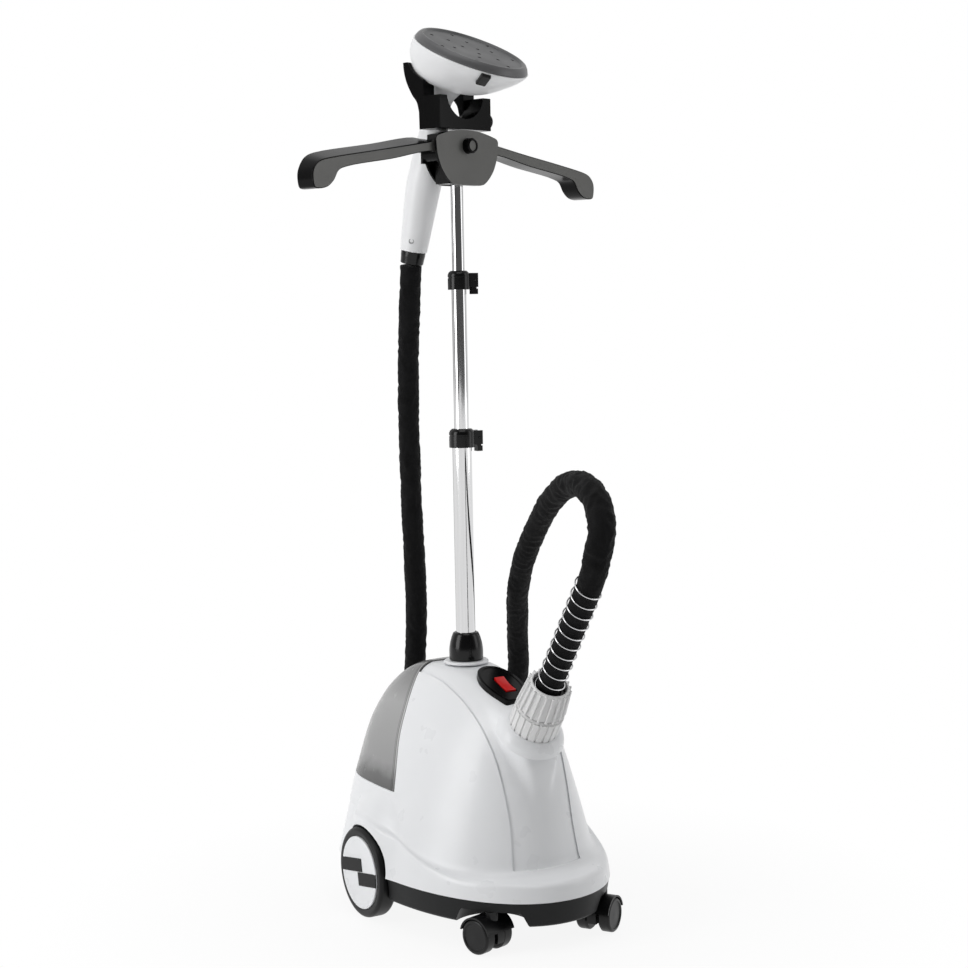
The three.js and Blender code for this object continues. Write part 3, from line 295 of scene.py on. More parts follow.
def sleeve_fabric():
    """Woven nylon sleeve: crossing threads on the sleeve's own map, a slight sheen and dusty folds."""
    colour = (0.004, 0.004, 0.0043)
    sheen = dict(Sheen_Weight=0.05, Sheen_Roughness=0.4, Specular_IOR_Level=0.15)
    material = finish("sleeve_fabric", "hose_fabric", colour, 0.78, **sheen)
    place = node(material, "ShaderNodeTexCoord").outputs["UV"]
    threads = {"Vector": place, "Scale": 26, "Distortion": 0.6, "Detail": 1}
    warp, weft = (
        node(material, "ShaderNodeTexWave", threads, bands_direction=way).outputs["Fac"] for way in "XY"
    )
    weave = maths(material, "MULTIPLY", warp, weft)
    dust = cloudy(material, place, 1.4, 4, 0.6)
    tone = ramp(material, dust, [(0.35, shaded(colour, 0.7)), (0.7, shaded(colour, 1.7))])
    link(material, tone, "Base Color")
    link(material, ramp(material, weave, [(0.0, 0.9), (1.0, 0.62)]), "Roughness")
    raised(material, weave, 0.35, 0.00035)
    return material


TANK_SMOKE = smoked_tank()
SLEEVE = sleeve_fabric()


# ---------- Shapes: arrays of points with lists of faces ----------

def shape(points, faces):
    return np.array(points, float).reshape(-1, 3), [list(face) for face in faces]


def turn(made, axis, degrees):
    spin = np.array(Matrix.Rotation(math.radians(degrees), 3, axis))
    return made[0] @ spin.T, made[1]


def shift(made, x=0, y=0, z=0):
    return made[0] + np.array([x, y, z]), made[1]


def along_x(made):
    return turn(made, "Y", 90)


def along_y(made):
    return turn(made, "X", -90)


def mirror_x(made):
    return made[0] * [-1, 1, 1], [face[::-1] for face in made[1]]


ON_AXIS = 1e-6  # a smaller radius is a point on the axis


def lathe(profile, segments=96):
    """Turned about Z from [radius, z] points that run anticlockwise with the axis at the left."""
    profile = list(profile)
    if profile[0] != profile[-1]:
        start, end = profile[0], profile[-1]
        before, after = ([] if radius < ON_AXIS else [[0, z]] for radius, z in (start, end))
        profile = before + profile + after
        closed = False
    else:
        profile = profile[:-1]
        closed = True
    points, rings = [], []
    for radius, z in profile:
        if radius < ON_AXIS:
            rings.append([len(points)] * segments)
            points.append((0, 0, z))
            continue
        rings.append(list(range(len(points), len(points) + segments)))
        for i in range(segments):
            angle = i * 2 * math.pi / segments
            points.append((radius * math.cos(angle), radius * math.sin(angle), z))
    faces = []
    pairs = list(zip(rings, rings[1:])) + ([(rings[-1], rings[0])] if closed else [])
    for a, b in pairs:
        for i in range(segments):
            j = (i + 1) % segments
            corners = [a[i], a[j], b[j], b[i]]
            corners = [c for k, c in enumerate(corners) if c != corners[k - 1]]
            if len(corners) > 2:
                faces.append(corners)
    return shape(points, faces)


def rod(radius, z0, z1, segments=64):
    return lathe([[0, z0], [radius, z0], [radius, z1], [0, z1]], segments)


def ring(outer, inner, z0, z1, segments=96):
    return lathe([[inner, z0], [outer, z0], [outer, z1], [inner, z1], [inner, z0]], segments)


def block(x0, x1, y0, y1, z0, z1):
    points = [(x, y, z) for z in (z0, z1) for y in (y0, y1) for x in (x0, x1)]
    return shape(points, [(0, 2, 3, 1), (4, 5, 7, 6), (0, 1, 5, 4), (2, 6, 7, 3), (0, 4, 6, 2), (1, 3, 7, 5)])


def side_block(side, x0, x1, *rest):
    """A block on the right, or its like on the left."""
    return block(x0, x1, *rest) if side > 0 else block(-x1, -x0, *rest)


def loft(rings, caps=True):
    """Solid through rings with the same count of points."""
    rings = np.array(rings, float)
    rows, count = rings.shape[:2]
    faces = []
    for r in range(rows - 1):
        for i in range(count):
            a, b = r * count + i, r * count + (i + 1) % count
            faces.append([a, b, b + count, a + count])
    if caps:
        faces.append(list(range(count))[::-1])
        faces.append(list(range((rows - 1) * count, rows * count)))
    made = shape(rings.reshape(-1, 3), faces)
    return made if volume(made) > 0 else (made[0], [face[::-1] for face in made[1]])


def volume(made):
    points, faces = made
    total = 0
    for face in faces:
        a = points[face[0]]
        for i in range(1, len(face) - 1):
            total += a @ np.cross(points[face[i]], points[face[i + 1]])
    return total / 6


def slab(outline, y0, y1):
    """A flat outline of [x, z] points, as thick as y0 to y1."""
    return loft([[(x, y, z) for x, z in outline] for y in (y0, y1)])


def side_slab(outline, x0, x1):
    """A side outline of [y, z] points, as wide as x0 to x1."""
    return loft([[(x, y, z) for y, z in outline] for x in (x0, x1)])


def monotone(xs, ys):
    """Smooth curve through the points that never overshoots them."""
    xs, ys = np.array(xs, float), np.array(ys, float)
    step = np.diff(xs)
    slope = np.diff(ys) / step
    tangent = np.concatenate([[slope[0]], np.zeros(len(xs) - 2), [slope[-1]]])
    same = slope[:-1] * slope[1:] > 0
    both_slopes = np.where(same, slope[:-1] + slope[1:], 1)
    tangent[1:-1] = np.where(same, 2 * slope[:-1] * slope[1:] / both_slopes, 0)

    def value(x):
        x = np.clip(x, xs[0], xs[-1])
        i = np.clip(np.searchsorted(xs, x, "right") - 1, 0, len(xs) - 2)
        t = (x - xs[i]) / step[i]
        a = (1 + 2 * t) * (1 - t) ** 2 * ys[i] + t * (1 - t) ** 2 * step[i] * tangent[i]
        return a + t * t * (3 - 2 * t) * ys[i + 1] - t * t * (1 - t) * step[i] * tangent[i + 1]

    return value


def through(points, steps=8, closed=False):
    """Centripetal curve through points, with that many steps between each two."""
    p = np.array(points, float)
    if closed:
        p = np.vstack([p[-1:], p, p[:2]])
    else:
        p = np.vstack([2 * p[:1] - p[1:2], p, 2 * p[-1:] - p[-2:-1]])
    found = []
    for i in range(1, len(p) - 2):
        a, b, c, d = p[i - 1 : i + 3]
        before, here, after = (max(np.linalg.norm(v) ** 0.5, 1e-6) for v in (b - a, c - b, d - c))
        leave = ((b - a) / before - (c - a) / (before + here) + (c - b) / here) * here
        arrive = ((c - b) / here - (d - b) / (here + after) + (d - c) / after) * here
        for t in np.arange(steps) / steps:
            cubic = 2 * b - 2 * c + leave + arrive
            found.append(b + t * leave + t * t * (3 * c - 3 * b - 2 * leave - arrive) + t**3 * cubic)
    if not closed:
        found.append(p[-2])
    return np.array(found)


def smoothstep(low, high, value):
    t = np.clip((value - low) / (high - low), 0, 1)
    return t * t * (3 - 2 * t)


# ---------- Shapes: joined, cut and rounded ----------

def loose_object(made, name="loose"):
    mesh = bpy.data.meshes.new(name)
    mesh.from_pydata(made[0].tolist(), [], made[1])
    found = bpy.data.objects.new(name, mesh)
    bpy.context.scene.collection.objects.link(found)
    return found


def settled(found):
    """The object's evaluated mesh as plain geometry, with its modifiers gone."""
    graph = bpy.context.evaluated_depsgraph_get()
    mesh = bpy.data.meshes.new_from_object(
        found.evaluated_get(graph), preserve_all_data_layers=True, depsgraph=graph
    )
    found.modifiers.clear()
    old, found.data = found.data, mesh
    bpy.data.meshes.remove(old)
    return found


def taken(found):
    """The shape of an object, which is then removed."""
    mesh = found.data
    points = np.empty(len(mesh.vertices) * 3)
    mesh.vertices.foreach_get("co", points)
    faces = [list(face.vertices) for face in mesh.polygons]
    bpy.data.objects.remove(found)
    bpy.data.meshes.remove(mesh)
    return points.reshape(-1, 3), faces


def combined(operation, first, others):
    subject = loose_object(first)
    tools = [loose_object(other) for other in others]
    for tool in tools:
        step = subject.modifiers.new("step", "BOOLEAN")
        step.operation = operation
        step.solver = "MANIFOLD"
        step.object = tool
    settled(subject)
    for tool in tools:
        taken(tool)
    return taken(subject)


def join(first, *others):
    return combined("UNION", first, others)


def cut(first, *others):
    return combined("DIFFERENCE", first, others)


def common(first, *others):
    return combined("INTERSECT", first, others)


def rounded(made, width, segments=3, angle=35, clamp=True):
    """Sharp edges given a radius."""
    found = loose_object(made)
    weld = found.modifiers.new("weld", "WELD")
    weld.merge_threshold = 0.02
    bevel = found.modifiers.new("edges", "BEVEL")
    bevel.width = width
    bevel.segments = segments
    bevel.limit_method = "ANGLE"
    bevel.angle_limit = math.radians(angle)
    bevel.use_clamp_overlap = clamp
    bevel.loop_slide = True
    return taken(settled(found))


def both(*shapes):
    """Separate bodies kept side by side in one mesh."""
    points, faces = [], []
    for p, f in shapes:
        offset = sum(len(q) for q in points)
        points.append(p)
        faces += [[i + offset for i in face] for face in f]
    return np.vstack(points), faces


# ---------- Pieces ----------

BODY_OF = {n: body for body, members in frame["record"]["behaviour"]["bodies"].items() for n in members}


def framed(made, name, material, smooth):
    """A shape placed in the frame as an object, shaded smooth but for edges sharper than an angle."""
    found = loose_object((made[0] * MM + POLE, made[1]), name)
    found.name = name
    mesh = found.data
    mesh.materials.append(material)
    mesh.polygons.foreach_set("use_smooth", [True] * len(mesh.polygons))
    mesh.set_sharp_from_angle(angle=math.radians(smooth))
    return found


def piece(name, made, material, *stands_for, body=None, smooth=40, hanger=False, accent=None):
    """A finished piece, placed in the frame, with accent = (material, test) for faces of another finish, such
    as the hanger's forward faces, whose lighter grey is partly a painted reflection.
    """
    found = framed(turn(made, "Z", HANGER_TURN) if hanger else made, name, material, smooth)
    weigh = found.modifiers.new("normals", "WEIGHTED_NORMAL")
    weigh.keep_sharp = True
    mesh = settled(found).data
    if accent:
        mesh.materials.append(accent[0])
        spin = Matrix.Rotation(math.radians(-HANGER_TURN if hanger else 0), 3, "Z")
        for face in mesh.polygons:
            if accent[1](spin @ face.normal, spin @ ((face.center - Vector(POLE)) / MM)):
                face.material_index = 1
    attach(found, body or BODY_OF[stands_for[0]])
    if stands_for:
        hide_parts(*stands_for)
    return found


# ---------- Hose ----------

ROUTE = [  # centre of the hose, from the nut's mouth to the cuff
    (0, -192.4, 309.1), (0, -221.5, 352.2), (0, -252.2, 397.8), (0, -293, 458.3), (1, -307, 490),
    (4, -311, 522), (12, -290, 551), (22, -247, 566), (33, -192, 560), (44, -138, 534), (56, -84, 494),
    (70, -32, 447),
    (89, 14, 400), (110, 50, 358), (127, 78, 318), (139, 98, 276), (145, 120, 235), (143, 148, 195),
    (130, 180, 163), (105, 203, 146), (76, 213, 145), (50, 213, 163), (33, 206, 195), (26, 195, 238),
    (22, 180, 290), (17, 165, 350), (7, 148, 440), (-2, 136, 520), (-9, 125, 590), (-14, 117, 640),
    (-20, 103, 710), (-24, 88, 780), (-26, 79, 834),
]
ROUTE_STEPS = 40
HOSE_SIDES = 48
HOSE_STRETCHES = [  # name, first and last point of the route, and the bodies that it lies between
    ("hose_arch", 0, 14, ("base",)),
    ("hose_rise", 14, 20, ("base", "pole_lower")),
    ("hose_low", 20, 26, ("pole_lower", "pole_middle")),
    ("hose_mid", 26, 29, ("pole_middle", "hub")),
    ("hose_top", 29, 32, ("hub", "head")),
]
HOSE_SPACING = 2.2  # between the sleeve's rings
THREAD_TURNS, THREAD_PITCH = 3, 30  # repeats of the weave round the sleeve, and the length of one along it
SLEEVE_RADIUS = monotone(  # radius of the sleeve by distance along the hose
    [0, 150, 185, 215, 260, 320, 370, 430, 520, 900, 1350, 1480, 1900],
    [15.4, 15.4, 15.4, 15.6, 15.7, 15.5, 15.0, 14.6, 14.2, 14.0, 14.2, 13.8, 13.6],
)
FOLD_DEPTH = monotone([0, 150, 200, 260, 360, 460, 700, 1900], [0.7, 0.9, 2.0, 2.5, 2.2, 1.7, 1.3, 1.3])

SPRING_REACH = 190  # how far along the hose its wire guard goes
GUARD_FIT = (14.6, 15.9)  # least and greatest radius of the sleeve inside the guard

route = through(ROUTE, ROUTE_STEPS)
route_length = np.concatenate([[0], np.cumsum(np.linalg.norm(np.diff(route, axis=0), axis=1))])


def hose_point(distance):
    return np.stack([np.interp(distance, route_length, route[:, k]) for k in range(3)], axis=-1)


def hose_frames(distances):
    """Centres with two axes across the hose, turned as little as possible along it."""
    centres = hose_point(distances)
    runs = hose_point(distances + 0.5) - hose_point(distances - 0.5)
    runs /= np.linalg.norm(runs, axis=1)[:, None]
    across = np.array([1.0, 0, 0])
    axes = []
    for run in runs:
        across = across - (across @ run) * run
        across /= np.linalg.norm(across)
        axes.append((across, np.cross(run, across)))
    return centres, axes


def fold(distance, angle):
    """How far the sleeve stands out or in at a place on it."""
    c, s = math.cos(angle), math.sin(angle)
    creases = noise.noise(Vector((c * 1.1, s * 1.1, distance / 13)))
    puckers = noise.noise(Vector((c * 2.3 + 9, s * 2.3, distance / 7)))
    bulge = noise.noise(Vector((c * 0.6, s * 0.6 + 5, distance / 42)))
    return 0.9 - 2.6 * abs(creases) + 0.5 * puckers + 0.9 * bulge


def sleeve_ring(distance, centre, across, up):
    depth, base = FOLD_DEPTH(distance), SLEEVE_RADIUS(distance)
    points = []
    for k in range(HOSE_SIDES):
        angle = k * 2 * math.pi / HOSE_SIDES
        radius = base + depth * 0.62 * fold(distance, angle)
        if distance < SPRING_REACH:
            radius = min(max(radius, GUARD_FIT[0]), GUARD_FIT[1])
        points.append(centre + radius * (across * math.cos(angle) + up * math.sin(angle)))
    return points


def map_threads(mesh, distances):
    """The sleeve's own map, which the weave follows round and along it."""
    threads = mesh.uv_layers.new(name="threads")
    for face in mesh.polygons:
        sides = [mesh.loops[i].vertex_index % HOSE_SIDES for i in face.loop_indices]
        wraps = max(sides) - min(sides) > 1 and len(sides) == 4
        for i, side in zip(face.loop_indices, sides):
            row = mesh.loops[i].vertex_index // HOSE_SIDES
            column = HOSE_SIDES if wraps and side == 0 else side
            threads.data[i].uv = (column / HOSE_SIDES * THREAD_TURNS, distances[row] / THREAD_PITCH)


def make_hose():
    for name, first, last, bodies in HOSE_STRETCHES:
        start, end = route_length[first * ROUTE_STEPS], route_length[last * ROUTE_STEPS]
        count = int((end - start) / HOSE_SPACING) + 1
        distances = np.linspace(start, end, count)
        whole = np.linspace(0, end, int(end / HOSE_SPACING) + 1)
        whole = np.unique(np.concatenate([whole[whole < start - 1], distances]))
        centres, axes = hose_frames(whole)
        centres, axes = centres[-count:], axes[-count:]
        rings = [sleeve_ring(at, centre, *pair) for at, centre, pair in zip(distances, centres, axes)]
        found = framed(loft(rings), f"{name}_sleeve", SLEEVE, 80)
        map_threads(found.data, distances)
        if len(bodies) == 1:
            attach(found, bodies[0])
        else:
            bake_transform(found)
        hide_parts(name)


make_hose()


# ---------- Base: the body's surface ----------

FAR = 260
WALL = 3
GAP = 0.35
BODY_MIDDLE = 17
BODY_COLUMNS = 220
DOME = np.array([  # height, half-width, reach to the front, reach to the rear
    (64.3, 148, 206, 160), (90, 141, 199, 160), (116, 133, 194, 160), (155, 121, 187, 160),
    (187, 110, 181, 158), (230, 95, 169, 151), (265, 77, 151, 137), (290, 62, 126, 114), (306, 50, 90, 88),
    (314, 41, 64, 66), (318, 33, 46, 48),
])
dome_side, dome_front, dome_rear = (monotone(DOME[:, 0], DOME[:, k]) for k in (1, 2, 3))
DOME_TOP = 318
SKIRT = dict(bottom=64.3, rim=86, foot=90, side=146, front=236, rear=160, flare=2)
FENDER_RISE = 42
FENDER = dict(side=148.5, near=60, far=105, along=1.35)  # flare, by distance from the axle
TANK = dict(floor=165, foot=-11, brow=38, brow_z=309, channel_x=32, channel_y=36, valve_y=95)
PANEL_FOOT, PANEL_TOP = 94.5, 330
PANEL = monotone([PANEL_FOOT, 147, 198, 250, 290, 308, PANEL_TOP], [49, 45.3, 46.7, 49.8, 51.3, 50, 50])
PANEL_SUNK = 1.6  # how far the front panel lies below the body's surface
POD = dict(out=17, low=168, full=240, fade=296, half=40, edge=14)
TRAY = dict(bottom=33, top=64, side=147, front=239, rear=158, taper=4)


def body_columns():
    """Unit outline of the body at even steps along its length: round in front, boxier behind."""
    angles = np.linspace(0, 2 * math.pi, 4001)
    c, s = np.cos(angles), np.sin(angles)
    power = np.where(s < 0, 2 / 2.1, 2 / 3.4)
    x, y = np.sign(c) * np.abs(c) ** power, np.sign(s) * np.abs(s) ** power
    run = np.concatenate([[0], np.cumsum(np.hypot(np.diff(x), np.diff(y)))])
    even = (np.arange(BODY_COLUMNS) + 0.5) * run[-1] / BODY_COLUMNS
    return np.interp(even, run, x), np.interp(even, run, y)


COLUMN_X, COLUMN_Y = body_columns()
FRONTNESS = smoothstep(-0.05, 0.75, -COLUMN_Y)


def on_outline(side, front, rear, inset=0):
    reach = np.where(COLUMN_Y < 0, front + BODY_MIDDLE, rear - BODY_MIDDLE) - inset
    x, y = COLUMN_X * (side - inset), BODY_MIDDLE + COLUMN_Y * reach
    return np.stack([x, y, np.zeros(BODY_COLUMNS)], axis=1)


def pod_out(points):
    """How far the pod under the steam outlet swells the dome."""
    x, y, z = points.T
    rise = smoothstep(POD["low"], POD["full"], z) * (1 - 0.8 * smoothstep(POD["full"] + 18, POD["fade"], z))
    half = POD["half"] * (0.45 + 0.55 * smoothstep(POD["low"], POD["full"] + 10, z))
    across = 1 - smoothstep(half - POD["edge"], half, np.abs(x))
    return np.where(y > 0, 0, POD["out"] * rise * across)


def flared(points, inset):
    """The body's points, moved out beside the wheels, where its side flares over them."""
    x, y, z = points.T
    away = np.hypot((y - WHEEL["y"]) * FENDER["along"], z - WHEEL["radius"])
    share = 1 - smoothstep(FENDER["near"], FENDER["far"], away)
    missing = np.maximum(0, FENDER["side"] - inset - np.abs(x))
    points[:, 0] = x + np.sign(x) * missing * share
    return points


def body_surface(inset, bottom):
    """Rings from the skirt's lower edge to the top, moved in by inset, with the ledge's edges rounded."""
    foot_z = SKIRT["foot"] + FENDER_RISE * (1 - FRONTNESS) - inset

    def dome_ring(z):
        ring_points = on_outline(*(f(z + inset) for f in (dome_side, dome_front, dome_rear)), inset)
        ring_points[:, 2] = z
        ring_points[:, 1] -= pod_out(ring_points)
        return flared(ring_points, inset)

    foot = dome_ring(foot_z)
    edge = on_outline(SKIRT["side"], SKIRT["front"], SKIRT["rear"], inset)
    drop = SKIRT["foot"] - SKIRT["rim"]
    rim = foot + (edge - foot) * FRONTNESS[:, None]
    rim[:, 2] = foot_z - drop
    rim = flared(rim, inset)
    base = on_outline(
        SKIRT["side"] + SKIRT["flare"], SKIRT["front"] + SKIRT["flare"] * 2, SKIRT["rear"], inset
    )
    base[:, 2] = bottom
    base = flared(base, inset)
    ledge = np.linalg.norm(rim - foot, axis=1)[:, None]
    rings = [base, base + (rim - base) * 0.5]
    for corner, before, after, size in ((rim, base, foot, 8), (foot, rim, dome_ring(foot_z + 24), 14)):
        reach = np.minimum(size, 0.45 * np.maximum(ledge, 3))
        start = corner + (before - corner) / np.linalg.norm(before - corner, axis=1)[:, None] * reach
        end = corner + (after - corner) / np.linalg.norm(after - corner, axis=1)[:, None] * reach
        for t in np.linspace(0, 1, 9):
            rings.append(start * (1 - t) ** 2 + corner * 2 * t * (1 - t) + end * t * t)
    low = rings[-1][:, 2]
    for part in np.sin(np.linspace(0, math.pi / 2, 46))[1:]:
        rings.append(dome_ring(low + (DOME_TOP - inset - low) * part))
    return rings


def body_solid(inset, bottom):
    rings = body_surface(inset, bottom)
    top = rings[-1]
    for share in (0.75, 0.4):
        rings.append(np.column_stack([top[:, :2] * share, top[:, 2]]))
    return loft(rings)


def tank_space(margin):
    side = [
        (TANK["foot"] - margin, TANK["floor"] - margin), (FAR, TANK["floor"] - margin), (FAR, FAR * 1.5),
        (TANK["brow"] - margin, FAR * 1.5), (TANK["brow"] - margin, TANK["brow_z"]),
    ]
    half = TANK["channel_x"] - margin
    channel = block(-half, half, -FAR, TANK["channel_y"] - margin, 0, FAR * 2)
    return cut(side_slab(side, -FAR, FAR), channel)


def wheel_well(side, radius, inner):
    x0, x1 = (inner, FAR) if side > 0 else (-FAR, -inner)
    return shift(along_x(rod(radius, x0, x1, 96)), 0, WHEEL["y"], WHEEL["radius"])


def panel_prism(margin):
    heights = np.linspace(PANEL_FOOT, PANEL_TOP, 50)
    right = [(PANEL(z) + margin, z - (margin if k == 0 else 0)) for k, z in enumerate(heights)]
    return slab(right + [(-x, z) for x, z in right[::-1]], -FAR, TANK["brow"] + margin)


def tilted(made):
    """Placed on the steam outlet, whose axis leans forward."""
    return shift(turn(made, "X", OUTLET["lean"]), 0, OUTLET["y"], OUTLET["z"])


WHEEL = dict(radius=58, width=25, outer=152, y=22, rim=47, proud=1.5, bore=4.35)
ARCH = dict(radius=61, inner=125)
OUTLET = dict(y=-160, z=261, lean=34, radius=31, ring=33.6, top=75, nut=25.5, sink=-6)
SWITCH = dict(top=(-49, 318.6), bottom=(-131, 288.6), width=54, rocker=(14, 32), centre=0.56)
SOCKET = dict(outer=16, inner=13.2, bottom=50, flange=29)
COLLAR = dict(z=322.4, height=36)

switch_run = np.subtract(SWITCH["top"], SWITCH["bottom"])
switch_length = float(np.hypot(*switch_run))
switch_middle = np.add(SWITCH["top"], SWITCH["bottom"]) / 2


def on_slope(made):
    """What is drawn flat, x across and y up the slope, placed on the switch's slope."""
    slope = math.degrees(math.atan2(switch_run[1], switch_run[0]))
    return shift(turn(made, "X", slope), 0, *switch_middle)


def bezel_outline(margin):
    right = [
        (0.0, -1.0), (0.45, -1.0), (0.66, -0.97), (0.8, -0.75), (0.95, -0.35), (1, 0.02), (0.93, 0.4),
        (0.66, 0.78), (0.3, 0.96), (0, 1),
    ]
    half, reach = SWITCH["width"] / 2 + margin, switch_length / 2 + margin
    curve = through([(x * half, y * reach, 0) for x, y in right], 5)[:, :2].tolist()
    return curve + [(-x, y) for x, y in curve[-2:0:-1]]


def flat_plate(outline, z0, z1):
    return loft([[(x, y, z) for x, y in outline] for z in (z0, z1)])


# ---------- Base: shells ----------

def make_base_shells():
    outer, inner = body_solid(0, SKIRT["bottom"]), body_solid(WALL, SKIRT["bottom"] - 10)
    deep = body_solid(WALL + GAP, SKIRT["bottom"] - 10)
    sunk = body_solid(PANEL_SUNK, SKIRT["bottom"])
    tank_hole = tank_space(0)
    liners = [wheel_well(side, ARCH["radius"] + WALL, ARCH["inner"] - WALL) for side in (-1, 1)]
    wells = [wheel_well(side, ARCH["radius"], ARCH["inner"]) for side in (-1, 1)]
    hollow = cut(inner, tank_space(WALL), *liners)
    gland = shift(along_y(rod(8.35, 100, FAR)), -70, 0, 100)
    valve = shift(rod(21, TANK["floor"] - 10, TANK["floor"] + 5), 0, TANK["valve_y"])
    shell = cut(outer, hollow, tank_hole, cut(panel_prism(0.05), deep), *wells, gland, valve)
    piece("body_shell", rounded(shell, 1, 3), WHITE, "housing_shell")

    bezel_hole = on_slope(flat_plate(bezel_outline(GAP), -20, 20))
    pole_hole = rod(SOCKET["outer"] + GAP, DOME_TOP - 20, FAR * 1.5)
    outlet_hole = tilted(rod(OUTLET["radius"] + GAP, OUTLET["sink"], 80))
    rise = [[0, -12], [44, -12], [42.5, -6], [40.5, -1.6], [37.5, 1.8], [34.8, 4.2], [33, 5], [0, 5]]
    swelling = cut(tilted(lathe(rise, 96)), inner)
    front = cut(join(cut(sunk, inner), swelling), tank_hole, pole_hole, outlet_hole, bezel_hole)
    piece("front_panel", common(front, panel_prism(0)), WHITE, "front_cover")

    space = tank_space(-0.5)
    shell = cut(common(outer, space), common(inner, tank_space(-0.5 - WALL)))
    neck = shift(rod(14.35, TANK["floor"], TANK["floor"] + 10), 0, TANK["valve_y"])
    piece("tank", rounded(cut(shell, neck), 1.4, 3), TANK_SMOKE, "water_tank", smooth=50)


make_base_shells()


def tray_ring(z, inset):
    points = on_outline(TRAY["side"], TRAY["front"], TRAY["rear"], inset)
    points[:, 2] = z
    return points


CASTER = dict(x=80, y=-187, trail=8, radius=21.5, wheel=15.5, inner=7.5, bore=2.85, pocket=41, ceiling=52)


def caster_pocket(grow):
    """The hollow above a caster, wider at its mouth."""
    ceiling, radius, mouth = CASTER["ceiling"] + grow, CASTER["pocket"] + grow, TRAY["bottom"]
    return lathe([[0, mouth - 5], [radius + 8, mouth - 5], [radius + 6, mouth + 1], [radius, ceiling - 4],
                  [radius - 3, ceiling], [0, ceiling]], 96)


def make_tray():
    low, taper = TRAY["bottom"], TRAY["taper"]
    outside = loft([
        tray_ring(low, taper + 6), tray_ring(low + 0.6, taper + 3.2), tray_ring(low + 2, taper + 1.2),
        tray_ring(low + 4.5, taper), tray_ring(TRAY["top"], 0),
    ])
    floor = TRAY["bottom"] + 3.5
    inside = loft([tray_ring(floor, TRAY["taper"] + WALL), tray_ring(TRAY["top"] + 5, WALL)])
    pedestal = ring(SOCKET["outer"] + 4, SOCKET["outer"] - 4, floor - 1, SOCKET["bottom"] - GAP)
    kept = [pedestal]
    for side in (-1, 1):
        x = side * CASTER["x"]
        pocket = shift(caster_pocket(WALL), x, CASTER["y"])
        boss = shift(rod(9, CASTER["ceiling"], TRAY["top"]), x, CASTER["y"])
        liner = wheel_well(side, ARCH["radius"] + WALL, ARCH["inner"] - WALL)
        edge, y = ARCH["inner"], WHEEL["y"]
        bearing = side_block(side, edge - 16, edge, y - 11, y + 11, floor - 1, TRAY["top"])
        kept += [bearing, pocket, liner, boss]
    tray = cut(outside, cut(inside, *kept))
    for side in (-1, 1):
        x = side * CASTER["x"]
        tray = cut(
            tray,
            wheel_well(side, ARCH["radius"], ARCH["inner"]),
            shift(caster_pocket(0), x, CASTER["y"]),
            shift(rod(5.4, 0, TRAY["top"] + 5), x, CASTER["y"]),
        )
    axle = shift(along_x(rod(WHEEL["bore"], -FAR, FAR)), 0, WHEEL["y"], WHEEL["radius"])
    piece("tray", rounded(cut(tray, axle), 1.6, 3), TRAY_GREY, "base_tray")


make_tray()


# ---------- Base: wheels ----------

def arc(radius, centre, start, end, steps=8):
    return [
        [centre[0] + radius * math.cos(math.radians(a)), centre[1] + radius * math.sin(math.radians(a))]
        for a in np.linspace(start, end, steps)
    ]


def band_outline(rear):
    """Half of the stepped band across the wheel's disc: [forward, up] points, cut round by the disc."""
    reach = CAP_RADIUS - 0.1
    inner, low, high = (9.6, 1.2, 18.4) if rear else (-3.7, -16.8, 0.4)
    side = -1 if rear else 1
    ends = [math.degrees(math.asin(v / reach)) for v in (low, high)]
    rim = [(side * forward, up) for forward, up in arc(reach, (0, 0), *ends, 9)]
    points = rim + [(inner, high), (inner, low)]
    return points if side > 0 else points[::-1]


CAP_RADIUS = WHEEL["rim"] - GAP
BAND_TILT = 10  # degrees that the band's front end stands raised


def make_wheels():
    width, outer, radius = WHEEL["width"], WHEEL["outer"], WHEEL["radius"]
    tyre = [[WHEEL["rim"], outer - width]] + arc(6, (radius - 6, outer - width + 6), -90, 0)
    tyre += arc(5, (radius - 5, outer - 5), 0, 90) + [[WHEEL["rim"] + 1.2, outer], [WHEEL["rim"], outer - 1]]
    tyre = tyre + [tyre[0]]
    face, bore = outer + WHEEL["proud"], WHEEL["bore"]
    disc = [[bore, outer - width], [9, outer - width], [9, face - WALL], [CAP_RADIUS - WALL, face - WALL]]
    disc += [[CAP_RADIUS - WALL, outer - width + 1], [CAP_RADIUS, outer - width + 1]]
    disc += arc(1.4, (CAP_RADIUS - 1.4, face - 1.4), 0, 90, 6)
    disc += [[CAP_RADIUS - 5, face], [CAP_RADIUS - 6.5, face - 0.7], [0, face - 0.7]]
    disc += [[0, outer - 5.65], [bore, outer - 5.65]]
    disc += [disc[0]]
    for side, name in ((-1, "left"), (1, "right")):
        def place(made, side=side):
            made = along_x(made)
            return shift(made if side > 0 else mirror_x(made), 0, WHEEL["y"], WHEEL["radius"])

        piece(f"{name}_tyre_tread", place(lathe(tyre, 128)), RUBBER, f"{name}_tyre")
        piece(f"{name}_wheel_disc", place(closed_lathe(disc, 128)), WHITE, f"{name}_hubcap")
        for rear in (True, False):
            outline = [(-a, b) for a, b in band_outline(rear)]
            bar = turn(side_slab(outline, face - 1.6, face + 0.15), "X", -BAND_TILT)
            bar = rounded(bar if side > 0 else mirror_x(bar), 0.3, 2)
            bar = shift(bar, 0, WHEEL["y"], WHEEL["radius"])
            piece(f"{name}_wheel_band_{'rear' if rear else 'front'}", bar, BLACK_GLOSS, body=f"{name}_wheel")


def closed_lathe(profile, segments=96):
    """Turned from a closed loop that touches the axis."""
    touching = [k for k, (radius, _) in enumerate(profile[:-1]) if radius < ON_AXIS]
    start = touching[-1]
    loop = profile[:-1]
    return lathe([loop[(start + k) % len(loop)] for k in range(len(loop))], segments)


make_wheels()


# ---------- Base: casters ----------

